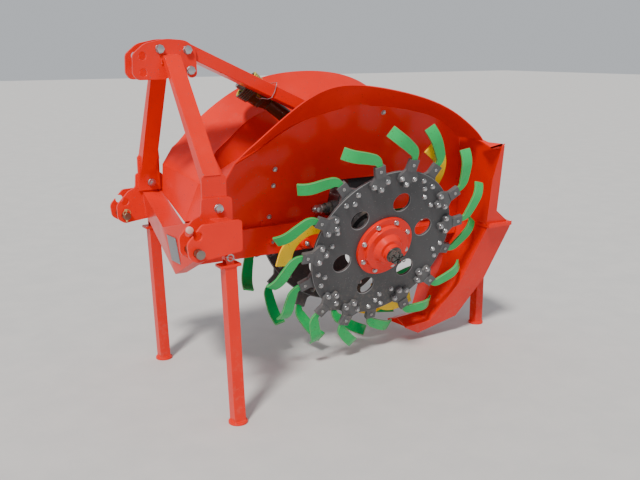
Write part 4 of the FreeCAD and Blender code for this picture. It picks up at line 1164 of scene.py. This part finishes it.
@dataclass
class Stands(Part):
    """Pins' clips and the welds of the three parking stands."""

    clip_out: float = 0.0198
    clip_ring: Point = (0.0068, 0.0013, 300.0)
    clip_tail: Point = (-0.013, 0.0, -0.004)
    clip_head: Point = (0.016, 0.0, 0.005)
    clip_wire: float = 0.0016
    washer: Point = (0.0172, 0.0190, 0.0122)
    half_w: float = 0.020
    flange_bead: float = 0.032
    foot_bead: float = 0.009
    bead_r: float = 0.0024
    lean: float = 2.0

    def trim(self, node: str, lean: float) -> None:
        """Clip, washers and welds of one stand.

        Args:
            node: The stand's node and body.
            lean: Degrees that its foot stands behind its pin.
        """
        pin = Vector(self.machine.joint(node + "_fold")["pos_m"])
        seat = pin + OUT * self.clip_out
        clip = Piece(node + "_clip").ring(seat, OUT, *self.clip_ring)
        clip.rod(seat + Vector(self.clip_tail), seat + Vector(self.clip_head), self.clip_wire, segments=10)
        start, end, radius = self.washer
        for side in (OUT, -OUT):
            clip.rod(pin + side * start, pin + side * end, radius, segments=24)
        clip.done(node, self.look.worn_zinc)
        turn = Matrix.Translation(pin) @ Matrix.Rotation(math.radians(lean), 4, "Y")
        length = pin.z / math.cos(math.radians(lean))
        bead = Piece(node + "_welds")
        for drop in (self.flange_bead, length - self.foot_bead):
            corners = [turn @ Vector((self.half_w * a, self.half_w * b, -drop)) for a, b in SQUARE]
            bead.weld([*corners, corners[0]], self.bead_r)
        bead.done(node, self.look.paint)

    def build(self) -> None:
        """Trim all three."""
        for side in Side:
            self.trim("stand_front_" + side.word, self.lean)
        self.trim("stand_rear", 0.0)


@dataclass
class RearEnd(Part):
    """Deflectors with their lap strips, and the welds of deflectors, shoes, rear joint and brace's tie."""

    rim: tuple[Pair, ...] = ((-0.511, 0.020), (-0.462, 0.228))
    shoe_rim: tuple[Pair, ...] = ((-0.511, -0.002), (-0.456, -0.239), (-0.345, -0.421))
    rim_in: float = 0.007
    joint_bead: tuple[Point, Point] = ((-0.719, 0.2120, 0.5025), (-0.600, 0.2120, 0.5025))
    rear_bead: tuple[Point, Point] = ((-0.7895, 0.030, 0.806), (-0.7895, 0.030, 0.8495))
    tie_bead: Point = (0.0005, 0.030, -0.0135)
    lap_level: float = -0.1945
    lap_t: float = 0.004
    lap: tuple[Pair, ...] = (
        (-0.400, 0.352), (-0.426, 0.352), (-0.454, 0.228), (-0.518, -0.002), (-0.528, -0.0465),
        (-0.430, -0.0465), (-0.430, 0.032), (-0.490, 0.032), (-0.432, 0.228),
    )
    fold_corner: Point = (-0.452, -0.012, 0.1)
    fold_lean: float = 0.056
    fold_top: float = 0.360
    flange_front: float = -0.404

    def deflectors(self) -> None:
        """Deflectors with their fold leaning back to the top rear corner, and the lap strips inside them."""
        place = self.machine.wheel_place()
        rear, inner, low = self.fold_corner
        for side in Side:
            node = "deflector_" + side.word
            piece = self.remade(node)
            frame = place if side is Side.LEFT else MIRROR @ place
            home = frame.inverted()
            for vert in piece.bm.verts:
                local = home @ vert.co
                of_flange = abs(local.x - self.flange_front) < 0.001
                if local.x > rear and local.y > inner and local.z > low and not of_flange:
                    local.x -= self.fold_lean * min(1.0, (local.z / self.fold_top) ** 2)
                    vert.co = frame @ local
            piece.done("frame", self.look.paint, stands_for=(node,), bevel=0.0012)
        corners = self.beside_wheel(self.lap_level, self.lap)
        self.both(Piece("deflector_lap").plate(corners, place.to_3x3() @ OUT, self.lap_t), self.look.paint)

    def build(self) -> None:
        """Make deflectors and beads."""
        self.deflectors()
        bead = Piece("rear_welds")
        for rows in (self.rim, self.shoe_rim):
            bead.weld(self.beside_wheel(-self.rim_in, [(forward - self.rim_in, up) for forward, up in rows]))
        bead.weld([Vector(p) for p in self.joint_bead])
        bead.weld([self.at(*p) for p in self.rear_bead])
        self.both(bead, self.look.paint)
        ahead, half, above = self.tie_bead
        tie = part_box("hood_tie")[1]
        ends = [Vector((tie[0] + ahead, y, tie[2] + above)) for y in (-half, half)]
        Piece("tie_welds").weld(ends).done("frame", self.look.paint)


@dataclass
class Body(Part):
    """Everything that doesn't turn: headstock, hoods, gearbox, rear end and stands. A star is either side."""

    beams: tuple[str, ...] = (
        "cross_beam", "top_link_plates", "brace", "hood_tie", "centre_beam", "rear_bridge", "rear_beam",
        "rear_spine",
    )
    sheets: tuple[str, ...] = ("hood_*", "hitch_clevis_*", "post_*", "shoe_*")

    def build(self) -> None:
        """Dress the nodes and add the fittings."""
        look = self.look
        rows = (
            (look.paint, 0.002, self.beams), (look.paint, 0.0012, self.sheets),
            (look.casting, 0.002, ("axle_housing_*",)), (look.casting, 0.004, ("gearbox",)),
            (look.guard, 0.001, ("drive_shaft_guard",)),
            (look.forging, 0.001, ("drive_shaft_yoke", "drive_shaft_coupler")),
        )
        for finish, bevel, nodes in rows:
            for node in nodes:
                for name in sorted({node.replace("*", side.word) for side in Side}):
                    self.dress(name, "frame", finish, bevel=bevel)
        for node in ("stand_front_left", "stand_front_right", "stand_rear"):
            self.dress(node, node, look.paint, bevel=0.002)
        for kind in (Headstock, Hoods, Drive, Stands, RearEnd):
            kind(self.machine).build()


@dataclass
class Studio(Part):
    """Pale floor, soft lights and the camera at the photograph's viewing angle."""

    focal_px: float = 806.8
    frame_px: float = 640.0
    sensor: float = 36.0
    yaw: float = -121.58
    pitch: float = 13.39
    roll: float = 0.11
    eye_from_feet: Point = (1.0438, 2.5435, 1.19)
    key_from: Point = (0.62, 0.55, 1.0)
    key: float = 3.9
    key_colour: Colour = (1.0, 0.97, 0.92)
    softness: float = 9.0
    fill: float = 0.62
    sky: tuple[float, float, float, float] = (0.86, 0.90, 0.95, 1.0)
    floor_size: float = 30.0
    floor_colours: tuple[Colour, Colour] = ((0.62, 0.605, 0.59), (0.58, 0.57, 0.56))

    def build(self) -> None:
        """Make floor, lights and camera."""
        self.floor()
        self.lights()
        self.camera()

    def floor(self) -> None:
        """Pale floor with a little mottle."""
        bench = Bench("floor")
        mottle = bench.noise(6.0, 6.0, 0.6)
        colour = bench.mix(mottle.ramp(0.3, 0.7), *self.floor_colours)
        piece = Piece("floor")
        bmesh.ops.create_grid(piece.bm, x_segments=1, y_segments=1, size=self.floor_size)
        made = piece.placed(bench.finish(mottle, 0.001, Base_Color=colour, Roughness=0.8))

    def lights(self) -> None:
        """Broad key light from the sun's side, fill from all round."""
        world = bpy.data.worlds.new("studio")
        bpy.context.scene.world = world
        world.use_nodes = True
        sky = world.node_tree.nodes["Background"]
        sky.inputs["Color"].default_value = self.sky
        sky.inputs["Strength"].default_value = self.fill
        data = bpy.data.lights.new("key", "SUN")
        data.energy = self.key
        data.angle = math.radians(self.softness)
        data.color = self.key_colour
        key = bpy.data.objects.new("key", data)
        bpy.context.scene.collection.objects.link(key)
        key.rotation_euler = Vector(self.key_from).to_track_quat("Z", "Y").to_euler()

    def camera(self) -> None:
        """Camera solved from the photograph, placed from the front feet."""
        data = bpy.data.cameras.new("camera")
        data.sensor_width = self.sensor
        data.lens = self.focal_px / self.frame_px * self.sensor
        made = bpy.data.objects.new("camera", data)
        bpy.context.scene.collection.objects.link(made)
        yaw, pitch = math.radians(self.yaw), math.radians(self.pitch)
        look = Vector((math.cos(yaw) * math.cos(pitch), math.sin(yaw) * math.cos(pitch), -math.sin(pitch)))
        roll = Matrix.Rotation(math.radians(-self.roll), 3, "Z")
        made.rotation_euler = (look.to_track_quat("-Z", "Y").to_matrix() @ roll).to_euler()
        made.location = self.at(*self.eye_from_feet)
        bpy.context.scene.camera = made


def main() -> None:
    """Build the machine and its studio in order."""
    logging.basicConfig(level=logging.INFO, format="%(name)s: %(message)s")
    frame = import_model()
    machine = Machine(frame, Finishes())
    for part in (CutterWheel(machine), Body(machine), Studio(machine)):
        part.build()


if __name__ == "__main__":
    main()
